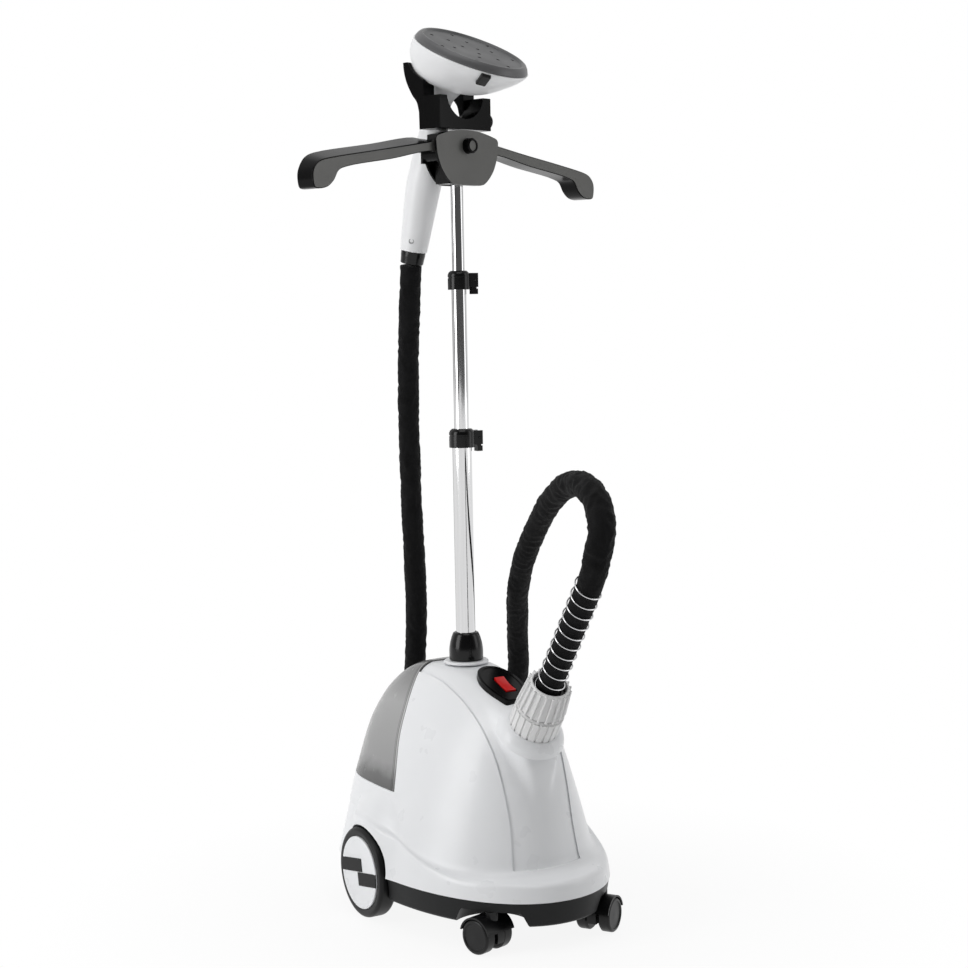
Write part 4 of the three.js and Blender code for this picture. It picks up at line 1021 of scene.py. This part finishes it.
def make_casters():
    radius, outer, web = CASTER["radius"], CASTER["inner"] + CASTER["wheel"], CASTER["inner"] - 1.5

    def at_axle(made):
        return shift(along_x(made), 0, CASTER["trail"], radius)

    guard = cut(
        at_axle(rod(radius + 3, -outer, outer, 72)),
        at_axle(rod(radius + 0.8, -outer - 1, outer + 1, 72)),
        block(-FAR, FAR, -FAR, FAR, -FAR, radius + 6),
    )
    fin = cut(at_axle(rod(radius + 2, -web, web, 72)), block(-FAR, FAR, -FAR, FAR, -FAR, radius - 8))
    hood = join(guard, fin, rod(5, radius, TRAY["top"] - 1), rod(8, radius, CASTER["ceiling"] - 1))
    room = at_axle(rod(radius + 0.8, web, outer + 1, 72))
    bore = CASTER["bore"]
    hood = cut(hood, at_axle(rod(bore, -FAR, FAR)), room, mirror_x(room))
    hood = rounded(hood, 0.8, 2)
    roller = [[bore, CASTER["inner"]], [radius - 2, CASTER["inner"]], [radius, CASTER["inner"] + 2]]
    roller += arc(3.2, (radius - 3.2, outer - 3.2), 0, 90, 7)
    roller += [[radius - 4.4, outer], [radius - 5.2, outer - 1.1], [radius - 7, outer - 1.3]]
    roller += [[4, outer - 0.9], [0, outer - 0.9]]
    roller += [[0, outer - 3 + GAP], [bore, outer - 3 + GAP], [bore, CASTER["inner"]]]
    roller = at_axle(closed_lathe(roller, 72))
    for name, x, degrees in (("left", -CASTER["x"], 16), ("right", CASTER["x"], 122)):
        def place(made, x=x, degrees=degrees):
            return shift(turn(made, "Z", degrees), x, CASTER["y"])

        piece(f"{name}_caster_fork", place(hood), CASTER_BLACK, f"{name}_caster_hood")
        piece(f"{name}_roller_outer", place(mirror_x(roller)), CASTER_BLACK, f"{name}_caster_wheel_a")
        piece(f"{name}_roller_inner", place(roller), CASTER_BLACK, f"{name}_caster_wheel_b")


make_casters()


# ---------- Base: switch ----------

def make_switch():
    rocker_y = (0.5 - SWITCH["centre"]) * switch_length
    wide, long = SWITCH["rocker"]

    def window(grow, z0=-20, z1=20):
        w, reach = wide / 2 + grow, long / 2 + grow
        return block(-w, w, rocker_y - reach, rocker_y + reach, z0, z1)

    plate = join(flat_plate(bezel_outline(0), -4, 2.4), flat_plate(bezel_outline(-2.4), 2, 3.4))
    dish = flat_plate(bezel_outline(-5.5), 2.6, 6)
    plate = rounded(cut(plate, dish, window(1.6)), 0.5, 2)
    piece("switch_frame", on_slope(plate), BLACK_GLOSS, "switch_bezel")
    half = long / 2
    top = through([(-half, 4.2), (-half / 2, 3.3), (0, 3.0), (half / 2, 3.7), (half, 5.2)], 4)
    side = [(-half, -3), (-half + 4, -9), (half - 4, -9), (half, -3)] + top[::-1].tolist()
    key = rounded(shift(side_slab(side, -wide / 2, wide / 2), 0, rocker_y), 0.6, 2)
    piece("switch_key", on_slope(key), RED, "rocker_switch")


make_switch()


# ---------- Repeats grown with geometry nodes ----------

class Grower:
    """A geometry node tree with named inputs, evaluated once to a plain shape."""

    def __init__(self, name, **inputs):
        self.tree = bpy.data.node_groups.new(name, "GeometryNodeTree")
        self.tree.interface.new_socket("Geometry", in_out="OUTPUT", socket_type="NodeSocketGeometry")
        self.values = {}
        for key, value in inputs.items():
            kind = "NodeSocketInt" if isinstance(value, int) else "NodeSocketFloat"
            socket = self.tree.interface.new_socket(key, in_out="INPUT", socket_type=kind)
            socket.default_value = value
            self.values[socket.identifier] = value
        self.given = self.tree.nodes.new("NodeGroupInput").outputs

    def add(self, kind, inputs=None, **settings):
        return add_node(self.tree, kind, inputs, settings).outputs

    def maths(self, operation, *values):
        return self.add("ShaderNodeMath", dict(enumerate(values)), operation=operation)[0]

    def place(self, x, y, z):
        return self.add("ShaderNodeCombineXYZ", {"X": x, "Y": y, "Z": z})[0]

    def grow(self, geometry, material):
        real = self.add("GeometryNodeRealizeInstances", {"Geometry": geometry})[0]
        painted = self.add("GeometryNodeSetMaterial", {"Geometry": real, "Material": material})[0]
        self.tree.links.new(painted, self.tree.nodes.new("NodeGroupOutput").inputs[0])
        found = loose_object(shape([(0, 0, 0)], []))
        modifier = found.modifiers.new("grow", "NODES")
        modifier.node_group = self.tree
        for identifier, value in self.values.items():
            modifier[identifier] = value
        return taken(settled(found))


def ribs_round(count, width, depth, foot, top, material):
    """Bars with rounded edges, evenly round an axis, each from foot to top as (radius, height)."""
    g = Grower(
        "grip_ribs", Count=count, Width=width, Depth=depth,
        Foot_radius=float(foot[0]), Foot_height=float(foot[1]),
        Top_radius=float(top[0]), Top_height=float(top[1]), Edge=0.9,
    )
    start = g.place(g.given["Foot_radius"], 0.0, g.given["Foot_height"])
    end = g.place(g.given["Top_radius"], 0.0, g.given["Top_height"])
    line = g.add("GeometryNodeCurvePrimitiveLine", {"Start": start, "End": end})[0]
    size = {"Width": g.given["Depth"], "Height": g.given["Width"]}
    section = g.add("GeometryNodeCurvePrimitiveQuadrilateral", size)[0]
    section = g.add(
        "GeometryNodeFilletCurve", {"Curve": section, "Count": 3, "Radius": g.given["Edge"]}, mode="POLY"
    )[0]
    bar = g.add("GeometryNodeCurveToMesh", {"Curve": line, "Profile Curve": section, "Fill Caps": True})[0]
    points = g.add("GeometryNodePoints", {"Count": g.given["Count"]})[0]
    share = g.maths("DIVIDE", g.add("GeometryNodeInputIndex")[0], g.given["Count"])
    spin = g.place(0.0, 0.0, g.maths("MULTIPLY", share, 2 * math.pi))
    bars = g.add("GeometryNodeInstanceOnPoints", {"Points": points, "Instance": bar, "Rotation": spin})[0]
    return g.grow(bars, material)


def coil(radius, wire, length, turns, material):
    """A wire wound in even turns along Z."""
    sizes = dict(Radius=float(radius), Wire=float(wire), Length=float(length), Turns=float(turns))
    g = Grower("hose_guard_coil", **sizes)
    wound = g.add(
        "GeometryNodeCurveSpiral",
        {"Resolution": 40, "Rotations": g.given["Turns"], "Start Radius": g.given["Radius"],
         "End Radius": g.given["Radius"], "Height": g.given["Length"]},
    )[0]
    section = g.add("GeometryNodeCurvePrimitiveCircle", {"Resolution": 10, "Radius": g.given["Wire"]})[0]
    inputs = {"Curve": wound, "Profile Curve": section, "Fill Caps": True}
    return g.grow(g.add("GeometryNodeCurveToMesh", inputs)[0], material)


def drills(rings, radius, depth, material):
    """Rods standing on rings of (count, ring radius, first angle)."""
    g = Grower("steam_hole_drills", Hole_radius=float(radius), Depth=float(depth))
    size = {"Vertices": 20, "Radius": g.given["Hole_radius"], "Depth": g.given["Depth"]}
    rods = g.add("GeometryNodeMeshCylinder", size)[0]
    sets = g.add("GeometryNodeJoinGeometry")
    for count, reach, first in rings:
        points = g.add("GeometryNodePoints", {"Count": count})[0]
        share = g.maths("DIVIDE", g.add("GeometryNodeInputIndex")[0], float(count))
        angle = g.maths("MULTIPLY_ADD", share, 2 * math.pi, math.radians(first))
        x, y = (g.maths("MULTIPLY", g.maths(way, angle), float(reach)) for way in ("COSINE", "SINE"))
        spot = g.place(x, y, 0.0)
        spots = g.add("GeometryNodeSetPosition", {"Geometry": points, "Position": spot})[0]
        placed = g.add("GeometryNodeInstanceOnPoints", {"Points": spots, "Instance": rods})[0]
        g.tree.links.new(placed, sets[0].node.inputs[0])
    return g.grow(sets[0], material)


# ---------- Base: steam outlet ----------

RIBS = 20


def make_outlet():
    sink, ring_top, radius = OUTLET["sink"], OUTLET["ring"], OUTLET["radius"]
    socket = [
        [12, sink - 20], [15, sink - 20], [15, sink + GAP], [radius - 2, sink + GAP], [radius - 2, 0],
        [radius - 1.2, 4], [radius - 1.2, ring_top - 2.2], [radius - 3.4, ring_top], [18, ring_top],
        [18, ring_top + 21], [12, ring_top + 21], [12, sink - 20],
    ]
    ribs = ribs_round(RIBS, 7.4, 2.8, (radius - 1.0, 4), (radius - 1.0, ring_top - 1.8), WHITE_RIB)
    fixed = both(rounded(lathe(socket, 120), 0.5, 2), ribs)
    piece("outlet_ring", tilted(fixed), WHITE_RIB, "steam_outlet_socket")
    base, top, nut = ring_top + GAP, OUTLET["top"], OUTLET["nut"]
    cup = [[18.35, base], [radius - 5, base], [radius - 2.8, base + 2.2], [radius - 2.8, base + 4]]
    cup += [[nut - 0.8, top - 1.2], [nut - 2, top], [nut - 3.4, top], [nut - 4.2, top - 1.5]]
    cup += [[nut - 4.2, ring_top + 23], [18.35, ring_top + 23], [18.35, base]]
    grip = ribs_round(RIBS, 6.6, 2.6, (radius - 2.5, base + 1.8), (nut - 0.7, top - 2), WHITE_RIB)
    piece("hose_nut_grip", tilted(both(rounded(lathe(cup, 120), 0.4, 2), grip)), WHITE_RIB, "hose_nut")
    wound = shift(coil(17.4, 0.95, 178, 11, SPRING_CHROME), 0, 0, 60)
    piece("hose_guard_spring", tilted(wound), SPRING_CHROME, "hose_spring", smooth=60)
    sleeve = ring(nut - 4.6, 15.9, ring_top + 24, top - 7)
    piece("nut_sleeve", tilted(rounded(sleeve, 0.8, 3)), BLACK_SATIN, body="nut")


make_outlet()


# ---------- Pole ----------

TUBE = dict(lower=12.5, middle=9.5, upper=8)  # radius of each tube of the pole


def make_pole():
    flange = [
        [0, SOCKET["bottom"]], [SOCKET["outer"], SOCKET["bottom"]], [SOCKET["outer"], DOME_TOP + GAP],
        [SOCKET["flange"] - 1, DOME_TOP + GAP], [SOCKET["flange"], DOME_TOP + 1.2],
        [SOCKET["flange"], DOME_TOP + 2.6], [SOCKET["flange"] - 1.5, COLLAR["z"] - GAP],
        [SOCKET["inner"], COLLAR["z"] - GAP],
        [SOCKET["inner"], SOCKET["bottom"] + 1.5], [0, SOCKET["bottom"] + 1.5],
    ]
    piece("pole_seat", rounded(lathe(flange, 96), 0.4, 2), WHITE, "pole_socket")
    z, top = COLLAR["z"], COLLAR["z"] + COLLAR["height"]
    collar = [
        [12.85, z], [21, z], [22, z + 1.2], [22, z + 12], [21.6, z + 17], [20.6, z + 23], [18.6, z + 30],
        [17.4, top - 3], [16.4, top - 0.8], [15, top], [13.6, top], [12.85, top - 0.8], [12.85, z],
    ]
    piece("collar_nut", lathe(collar, 96), BLACK_SATIN, "pole_collar")
    for name, node_name, radius, low, high in (
        ("pole_lower_tube", "lower_tube", TUBE["lower"], 52, 611),
        ("pole_upper_tube", "upper_tube", TUBE["upper"], 563, 972),
    ):
        piece(name, rounded(ring(radius, radius - 1, low, high, 72), 0.3, 2), CHROME, node_name)
    bore, middle = TUBE["lower"] - 1 - GAP, TUBE["middle"]
    middle = [
        [0, 358], [bore, 358], [bore, 374], [middle, 376], [middle, 813], [middle - 1, 813],
        [middle - 1, 360], [0, 360],
    ]
    piece("pole_middle_tube", rounded(lathe(middle, 72), 0.3, 2), CHROME, "middle_tube")


def make_lock(name, z, outer, radius, sliding, top):
    height, ear, lever = 24, 8, 4.5
    sleeve = [
        [radius + GAP, z], [outer, z], [outer, z + height - 5], [outer - 1.2, z + height - 2.2],
        [outer - 3.6, z + height], [sliding + GAP, z + height], [sliding + GAP, top + GAP],
        [radius + GAP, top + GAP], [radius + GAP, z],
    ]
    pin_x, pin_z = outer + 5.4, z + height / 2
    ears = block(outer - 2, pin_x + 5, -ear, ear, z + 3, z + height - 3)
    groove = cut(ring(outer + 3, outer - 0.7, z + 14.5, z + 16, 72), block(0, FAR, -FAR, FAR, 0, FAR * 9))
    pin_hole = shift(along_y(rod(1.85, -FAR, FAR, 24)), pin_x, 0, pin_z)
    slot_space = block(outer + 0.5, FAR, -lever - GAP, lever + GAP, z, z + height)
    body = cut(join(lathe(sleeve, 72), ears), slot_space, pin_hole, groove)
    piece(f"{name}_clamp", rounded(body, 0.5, 2), BLACK_SATIN, f"{name}_lock_body")
    cam = shift(along_y(rod(4.5, -lever, lever, 40)), pin_x, 0, pin_z)
    handle = block(pin_x - 1, pin_x + 4.5, -lever, lever, z - 6, pin_z)
    tip = block(pin_x - 1, pin_x + 6.5, -lever, lever, z - 6, z + 1)
    pins = shift(along_y(rod(1.5, -ear, ear, 24)), pin_x, 0, pin_z)
    made = rounded(join(cam, handle, tip, pins), 0.7, 2)
    piece(f"{name}_clamp_lever", made, BLACK_SATIN, f"{name}_lock_lever")


make_pole()
make_lock("lower", 599, 16.4, TUBE["lower"], TUBE["middle"], 611)
make_lock("upper", 801, 14, TUBE["middle"], TUBE["upper"], 813)


# ---------- Hanger ----------

HUB = dict(top=1001, shoulder=991, bottom=932, front=-20.6, seam=-11, rim_half=46, foot_half=20)
HUB_SHIELD = [
    (0, 1001), (15, 1000.3), (30, 998.2), (45, 994.8), (55, 991.5), (57.5, 988), (57, 979), (55.5, 970),
    (52.5, 961), (48.5, 952.5), (43, 945), (36, 938), (29, 933.5), (22, 932),
]
HEAD = dict(y=-34, z=1101.5, radius=75.5, tilt=27, depth=60, rim=-10, bore=9)
CUP = [  # radius, distance behind the face, how far the ring lies back
    (26, -60, 23), (41, -55, 21.5), (53, -47, 18), (63.5, -35.5, 13), (71.5, -23.5, 6.5), (75, -14, 1.5),
    (75.5, -10, 0),
]
HANDLE = [
    (13.9, 1058, 21.5), (20.5, 1050, 16.8), (26.5, 1040, 15.2), (32.5, 1024, 16), (38, 1003, 18.5),
    (46, 972, 22), (60, 930, 22.3), (70, 890, 20), (79, 853, 17.6),
]
KNOB = dict(z=981, radius=9.5, proud=10)
CATCH = dict(angle=241, radius=70, depth=-19.5, slope=52)


# The forward faces found here take the grey that carries the painted reflection.
def faces_front(normal, _=None):
    """Whether a face looks straight forward, for an accent's test."""
    return normal.y < -0.97


def hub_outline(inset):
    middle = (HUB["top"] + HUB["bottom"]) / 2
    flank = through([(x, z, 0) for x, z in HUB_SHIELD[5:]], 3)[:, :2].tolist()
    right = through([(x, z, 0) for x, z in HUB_SHIELD[:6]], 3)[:-1, :2].tolist() + flank
    shrunk = []
    for x, z in right:
        share = 1 - inset / math.hypot(x, z - middle)
        shrunk.append((x * share, middle + (z - middle) * share))
    return shrunk + [(-x, z) for x, z in shrunk[::-1] if x > 0.01]


def make_hub_back():
    """The plate at the hub's rear, narrower than the shield."""
    outline = [(math.copysign(max(abs(x) - 12, 0), x), z) for x, z in hub_outline(1) if z < 985]
    stem = block(-24, 24, 11.5, 15, 940, 984)
    plate = rounded(join(slab(outline, 14.4, 17.4), stem), 0.8, 2)
    piece("hub_back_plate", plate, BLACK_GLOSS, body="hub", hanger=True)


def make_hub():
    plate_back = HUB["front"] + WALL
    rim = slab(hub_outline(0), plate_back - 1, HUB["seam"])
    rim = cut(rim, slab(hub_outline(WALL), plate_back - 2, HUB["seam"] + 1))
    low = HUB["bottom"] - 1
    for side in (-1, 1):
        rim = cut(
            rim,
            side_block(side, HUB["rim_half"], FAR, plate_back, FAR, low, HUB["top"] + 1),
            side_block(side, HUB["foot_half"], FAR, plate_back, FAR, low, HUB["shoulder"] - 12),
        )
    hole = shift(along_y(rod(KNOB["radius"] + GAP, -FAR, 0)), 0, 0, KNOB["z"])
    cover = cut(join(slab(hub_outline(0), HUB["front"], plate_back), rim), hole)
    piece(
        "hub_shield", rounded(cover, 1.5, 3), BLACK_GLOSS, "hub_front_cover", hanger=True,
        accent=(HUB_FACE_PAINTED_REFLECTION, lambda n, c: faces_front(n) and c.y < HUB["front"] + 0.2),
    )
    front, raised_rim = HUB["front"], KNOB["radius"]
    back = front + WALL
    knob = [
        [0, back + 2], [raised_rim + 1.5, back + 2], [raised_rim + 1.5, back + GAP], [raised_rim, back + GAP],
        [raised_rim, front - 8], [raised_rim - 1, front - 9.6], [raised_rim - 2.2, front - KNOB["proud"]],
        [raised_rim - 3, front - 9.2], [raised_rim - 3.2, front - 8.4], [0, front - 8.4],
    ]
    button = along_y(lathe(knob[::-1], 72))
    piece(
        "hub_button", shift(button, 0, 0, KNOB["z"]), BLACK_GLOSS, "hub_knob", hanger=True,
        accent=(HUB_FACE_PAINTED_REFLECTION, lambda n, c: faces_front(n) and math.hypot(c.x, c.z - KNOB["z"]) < 6),
    )


make_hub()
make_hub_back()

ARM = dict(front=-14, back=14, rise=8, root_half=12, thin_to=58, pivot_x=40, pivot_z=971, eye=10, pin=3)
ARM_OUTLINE = [
    (38, 964, 0), (38, 979, 0), (52, 985.5, 0.4), (66, 983.4, 1), (140, 972, 1), (233, 957.6, 1),
    (246, 954.5, 0.8), (253, 951, 0.5), (260, 942, 0), (260, 928, 0), (257, 922, 0), (238, 923, 0),
    (226.5, 931, 0), (218, 943, 0), (205, 948, 0), (130, 960, 0), (52, 972, 0),
]


def make_arm(side, name):
    outline = through([(x, z, lift * ARM["rise"]) for x, z, lift in ARM_OUTLINE], 5, closed=True)
    rings = [
        [(side * x, y, z + max(lift, 0) * lifted) for x, z, lift in outline]
        for y, lifted in ((ARM["front"], 0), (ARM["back"], 1))
    ]

    def at_pivot(made):
        return shift(along_y(made), side * ARM["pivot_x"], 0, ARM["pivot_z"])

    half = ARM["root_half"]
    arm = rounded(loft(rings), 2.6, 4, 50)
    arm = cut(
        arm, side_block(side, 0, ARM["thin_to"], -FAR, -half, 0, FAR * 5),
        side_block(side, 0, ARM["thin_to"], half, FAR, 0, FAR * 5),
    )
    arm = cut(join(arm, at_pivot(rod(ARM["eye"], -half, half))), at_pivot(rod(ARM["pin"] + GAP, -FAR, FAR)))
    piece(f"{name}_hanger_arm", arm, BLACK_GLOSS, f"{name}_arm", hanger=True, accent=(HUB_FACE_PAINTED_REFLECTION, faces_front))


make_arm(-1, "left")
make_arm(1, "right")


def head_turn(made):
    return shift(turn(made, "X", HEAD["tilt"]), 0, HEAD["y"], HEAD["z"])


def cup_ring(radius, height, back, sides=144):
    return [
        (radius * math.cos(a), back + radius * math.sin(a), height)
        for a in np.arange(sides) * 2 * math.pi / sides
    ]


def cup_rings(grow):
    return [cup_ring(radius + grow, height, back) for radius, height, back in through(CUP, 6)]


def cup_outside(grow):
    return head_turn(loft([*cup_rings(grow), cup_ring(HEAD["radius"] + grow, 0, 0)]))


def handle_rings(grow, extra=0, sides=56):
    """Rings about the handle's axis; the first lies flat under the cup."""
    axis = through(HANDLE, 6)
    places = [np.array([0, y, z]) for y, z, _ in axis]
    rings = []
    for i, (y, z, radius) in enumerate(axis):
        run = places[min(i + 1, len(places) - 1)] - places[max(i - 1, 0)]
        run /= np.linalg.norm(run)
        tilt = math.radians(HEAD["tilt"])
        flat = np.array([0, math.sin(tilt), -math.cos(tilt)])
        share = smoothstep(0, 8, i)
        run = flat * (1 - share) + run * share
        run /= np.linalg.norm(run)
        away = -extra if i == 0 else extra if i == len(places) - 1 else 0
        centre = places[i] + run * away
        across = np.array([1.0, 0, 0])
        up = np.cross(run, across)
        rings.append([
            centre + (radius + grow) * (across * math.cos(a) + up * math.sin(a))
            for a in np.arange(sides) * 2 * math.pi / sides
        ])
    return rings


def make_cradle():
    head_space = cup_outside(1.5), loft(handle_rings(1.5, 2))
    notch = shift(along_y(rod(34, -FAR, FAR, 128)), 0, 0, 1049)
    saddle = cut(block(-47.5, 47.5, -18, 10, 1002, 1043), notch, *head_space)
    piece(
        "saddle", rounded(saddle, 1.8, 3), BLACK_GLOSS, "hub_saddle", hanger=True,
        accent=(HUB_FACE_PAINTED_REFLECTION, lambda n, c: faces_front(n) and abs(c.x) > 20),
    )
    rear_curve = through([(18.5, 1024), (22, 1036), (30, 1046), (39.5, 1063), (43.5, 1077), (44.5, 1087)], 5)
    front_curve = through([(37, 1087), (31, 1078), (22, 1070), (10.5, 1063)], 4)
    side = [(10.4, 1002), (18, 1002), *rear_curve.tolist(), *front_curve.tolist(), (10.4, 1055)]
    for x0, x1, name in ((-47, -27, "left"), (27, 47, "right")):
        prong = cut(side_slab(side, x0, x1), *head_space)
        piece(f"{name}_prong", rounded(prong, 1.6, 3, 50), BLACK_GLOSS, f"{name}_cradle_prong", hanger=True)
    cap = [[0, 47.85], [10.5, 47.85], [10.5, 53], [9.6, 55], [8, 55.85], [6.5, 55.2], [0, 55.2]]
    cap = shift(along_x(lathe(cap, 72)), 0, -5, 1015)
    piece("cradle_cap", cap, BLACK_GLOSS, "cradle_bolt_cap", hanger=True)


make_cradle()


# ---------- Steam head ----------

def make_head():
    rings = through(CUP, 6)
    inside = [cup_ring(radius - WALL, height + 1, back) for radius, height, back in rings[4:-2]]
    inside.append(cup_ring(HEAD["radius"] - WALL, 1, 0))
    bore = shift(rod(HEAD["bore"], -HEAD["depth"] - 1, -HEAD["depth"] + 2 * WALL), 0, CUP[0][2])
    bowl = rounded(cut(loft(cup_rings(0)), loft(inside), bore), 0.5, 2, 50)
    piece("head_bowl", head_turn(bowl), HEAD_WHITE, "steam_head_cup", hanger=True)
    lid, radius = HEAD["rim"] + GAP, HEAD["radius"]
    disc = [
        [0, lid - 4], [radius - 6, lid - 4], [radius - 6, lid], [radius - 1.5, lid],
        [radius - 1.3, lid + 1.5], [radius - 3.1, -4.2], [radius - 5.4, -1.4], [radius - 7.6, -0.2],
        [radius - 9.4, -0.3], [radius - 11.6, -2.6], [0, -2.6],
    ]
    holes = shift(drills([(3, 14, 20), (6, 34, 0), (7, 55, 25)], 2.5, 11, PLATE), 0, 0, -1)
    plate = rounded(cut(lathe(disc, 160), holes), 0.5, 2, 28)

    def inside_band(_, centre):
        y, z = centre.y - HEAD["y"], centre.z - HEAD["z"]
        tilt = math.radians(HEAD["tilt"])
        return math.hypot(centre.x, y * math.cos(tilt) + z * math.sin(tilt)) < radius - 10.9

    piece("head_plate", head_turn(plate), PLATE, "steam_plate", hanger=True, accent=(PLATE_FACE, inside_band))
    piece("grip", loft(handle_rings(0)), HEAD_WHITE, "handle", hanger=True)


make_head()


def make_handle_fittings():
    start, end = (np.array([0, y, z]) for y, z, _ in HANDLE[-2:])
    run = (end - start) / np.linalg.norm(end - start)
    lean = math.degrees(math.atan2(-run[1], run[2]))

    def along_handle(made):
        return shift(turn(made, "X", lean), *end)

    cuff = [[9, GAP], [15.4, GAP], [16, 1], [16, 6], [15.6, 8], [15, 16.4], [14.4, 17], [9, 17], [9, GAP]]
    piece("grip_cuff", along_handle(lathe(cuff, 72)), BLACK_SATIN, "hose_cuff", hanger=True)
    well = [[0, 0], [3.4, 0], [3.4, 0.9], [2.7, 0.9], [2.5, 0.2], [0, 0.2]]
    cross = join(block(-1.7, 1.7, -0.35, 0.35, 0, 1), block(-0.35, 0.35, -1.7, 1.7, 0, 1))
    screw = cut(lathe(well, 40), cross)
    screw = turn(mirror_x(along_x(screw)), "Z", 29)
    piece("grip_screw", shift(screw, -15.8, 67.3, 864.5), STEEL, body="head", hanger=True)
    tab = turn(rounded(block(-9.5, 9.5, -6.5, 6.5, -3.5, 3.5), 1.2, 3), "Y", -CATCH["slope"])
    tab = turn(shift(tab, CATCH["radius"], 0, CATCH["depth"]), "Z", CATCH["angle"])
    tab = cut(head_turn(tab), cup_outside(GAP))
    piece("catch_tab", largest(tab), BLACK_SATIN, "accessory_catch", hanger=True)


def largest(made):
    """The biggest of a shape's separate bodies."""
    points, faces = made
    group = list(range(len(points)))

    def root(i):
        while group[i] != i:
            group[i] = group[group[i]]
            i = group[i]
        return i

    for face in faces:
        for i in face[1:]:
            group[root(i)] = root(face[0])
    bodies = {}
    for face in faces:
        bodies.setdefault(root(face[0]), []).append(face)
    best = max(bodies.values(), key=lambda some: volume((points, some)))
    used = sorted({i for face in best for i in face})
    new = {old: k for k, old in enumerate(used)}
    return points[used], [[new[i] for i in face] for face in best]


make_handle_fittings()


# ---------- Pieces that stay as they are ----------

CARRIED_OVER = {
    STEEL: ("rear_axle", "left_caster_axle", "right_caster_axle"),
    ALUMINIUM: ("boiler", "boiler_lid"),
    SILICONE: ("feed_pipe", "steam_pipe"),
    BLACK_SATIN: ("thermostat", "cord_gland", "lower_tube_bush", "hub_core"),
    TRAY_GREY: ("tank_valve_cap", "tank_valve_seat"),
}
for material, names in CARRIED_OVER.items():
    for name in names:
        frame["nodes"][name].data.materials.clear()
        frame["nodes"][name].data.materials.append(material)


# ---------- Floor, backdrop and light ----------

FLOOR_REACH = 12


def make_floor():
    """A pale plain floor that fades to white away from the machine."""
    corners = [(x * FLOOR_REACH, y * FLOOR_REACH, 0) for x, y in ((-1, -1), (1, -1), (1, 1), (-1, 1))]
    floor = loose_object(shape(corners, [(0, 1, 2, 3)]), "floor")
    floor.name = "floor"
    material = bpy.data.materials.new("pale_floor")
    material.use_nodes = True
    shader = material.node_tree.nodes["Principled BSDF"]
    shader.inputs["Base Color"].default_value = (0.9, 0.9, 0.9, 1)
    shader.inputs["Roughness"].default_value = 0.6
    shader.inputs["Specular IOR Level"].default_value = 0.2
    place = node(material, "ShaderNodeTexCoord").outputs["Object"]
    away = vector_maths(material, "LENGTH", place)
    far = ranged(material, away, From_Min=0.25, From_Max=0.6, To_Min=0.9)
    rays = node(material, "ShaderNodeLightPath").outputs
    seen = maths(material, "MAXIMUM", rays["Is Camera Ray"], rays["Is Glossy Ray"])
    seen = maths(material, "MAXIMUM", seen, rays["Is Transmission Ray"])
    share = maths(material, "MULTIPLY", seen, far)
    glow = node(material, "ShaderNodeEmission", {"Color": (1, 1, 1, 1), "Strength": 1.0})
    mixed = node(material, "ShaderNodeMixShader", {0: share, 1: shader.outputs[0], 2: glow.outputs[0]})
    surface = material.node_tree.nodes["Material Output"].inputs["Surface"]
    material.node_tree.links.new(mixed.outputs[0], surface)
    floor.data.materials.append(material)


def make_world():
    """White where it is seen, and a soft gradient, brighter behind on the right, where it lights."""
    world = bpy.data.worlds.new("studio")
    bpy.context.scene.world = world
    world.use_nodes = True
    rays = node(world, "ShaderNodeLightPath").outputs
    seen = maths(world, "MAXIMUM", rays["Is Camera Ray"], rays["Is Transmission Ray"])
    way = node(world, "ShaderNodeTexCoord").outputs["Generated"]
    along = vector_maths(world, "DOT_PRODUCT", way, (0.5, 0.85, 0.15))
    tone = ranged(world, along, From_Min=-0.5, From_Max=0.6, To_Min=0.10, To_Max=0.80)
    shown = ranged(world, seen, To_Min=tone, To_Max=1.0)
    backdrop = world.node_tree.nodes["Background"]
    backdrop.inputs["Strength"].default_value = 1.0
    world.node_tree.links.new(shown, backdrop.inputs["Color"])


def soft_light(name, place, target, size, power):
    lamp = bpy.data.lights.new(name, "AREA")
    lamp.shape = "RECTANGLE"
    lamp.size, lamp.size_y = size
    lamp.energy = power
    holder = bpy.data.objects.new(name, lamp)
    bpy.context.scene.collection.objects.link(holder)
    aim = (Vector(place) - Vector(target)).to_track_quat("Z", "Y").to_matrix().to_4x4()
    holder.matrix_world = Matrix.Translation(Vector(place)) @ aim


make_floor()
make_world()
soft_light("left_softbox", (-2.4, 0.2, 1.3), (0, 0, 0.5), (1.2, 2.0), 31)
soft_light("right_softbox", (1.9, -1.4, 1.2), (0, 0, 0.5), (0.9, 1.8), 8)
soft_light("top_softbox", (-0.3, -0.6, 2.6), (0, 0, 0.4), (1.6, 1.6), 13)

scene = bpy.context.scene
scene.view_settings.view_transform = "Standard"
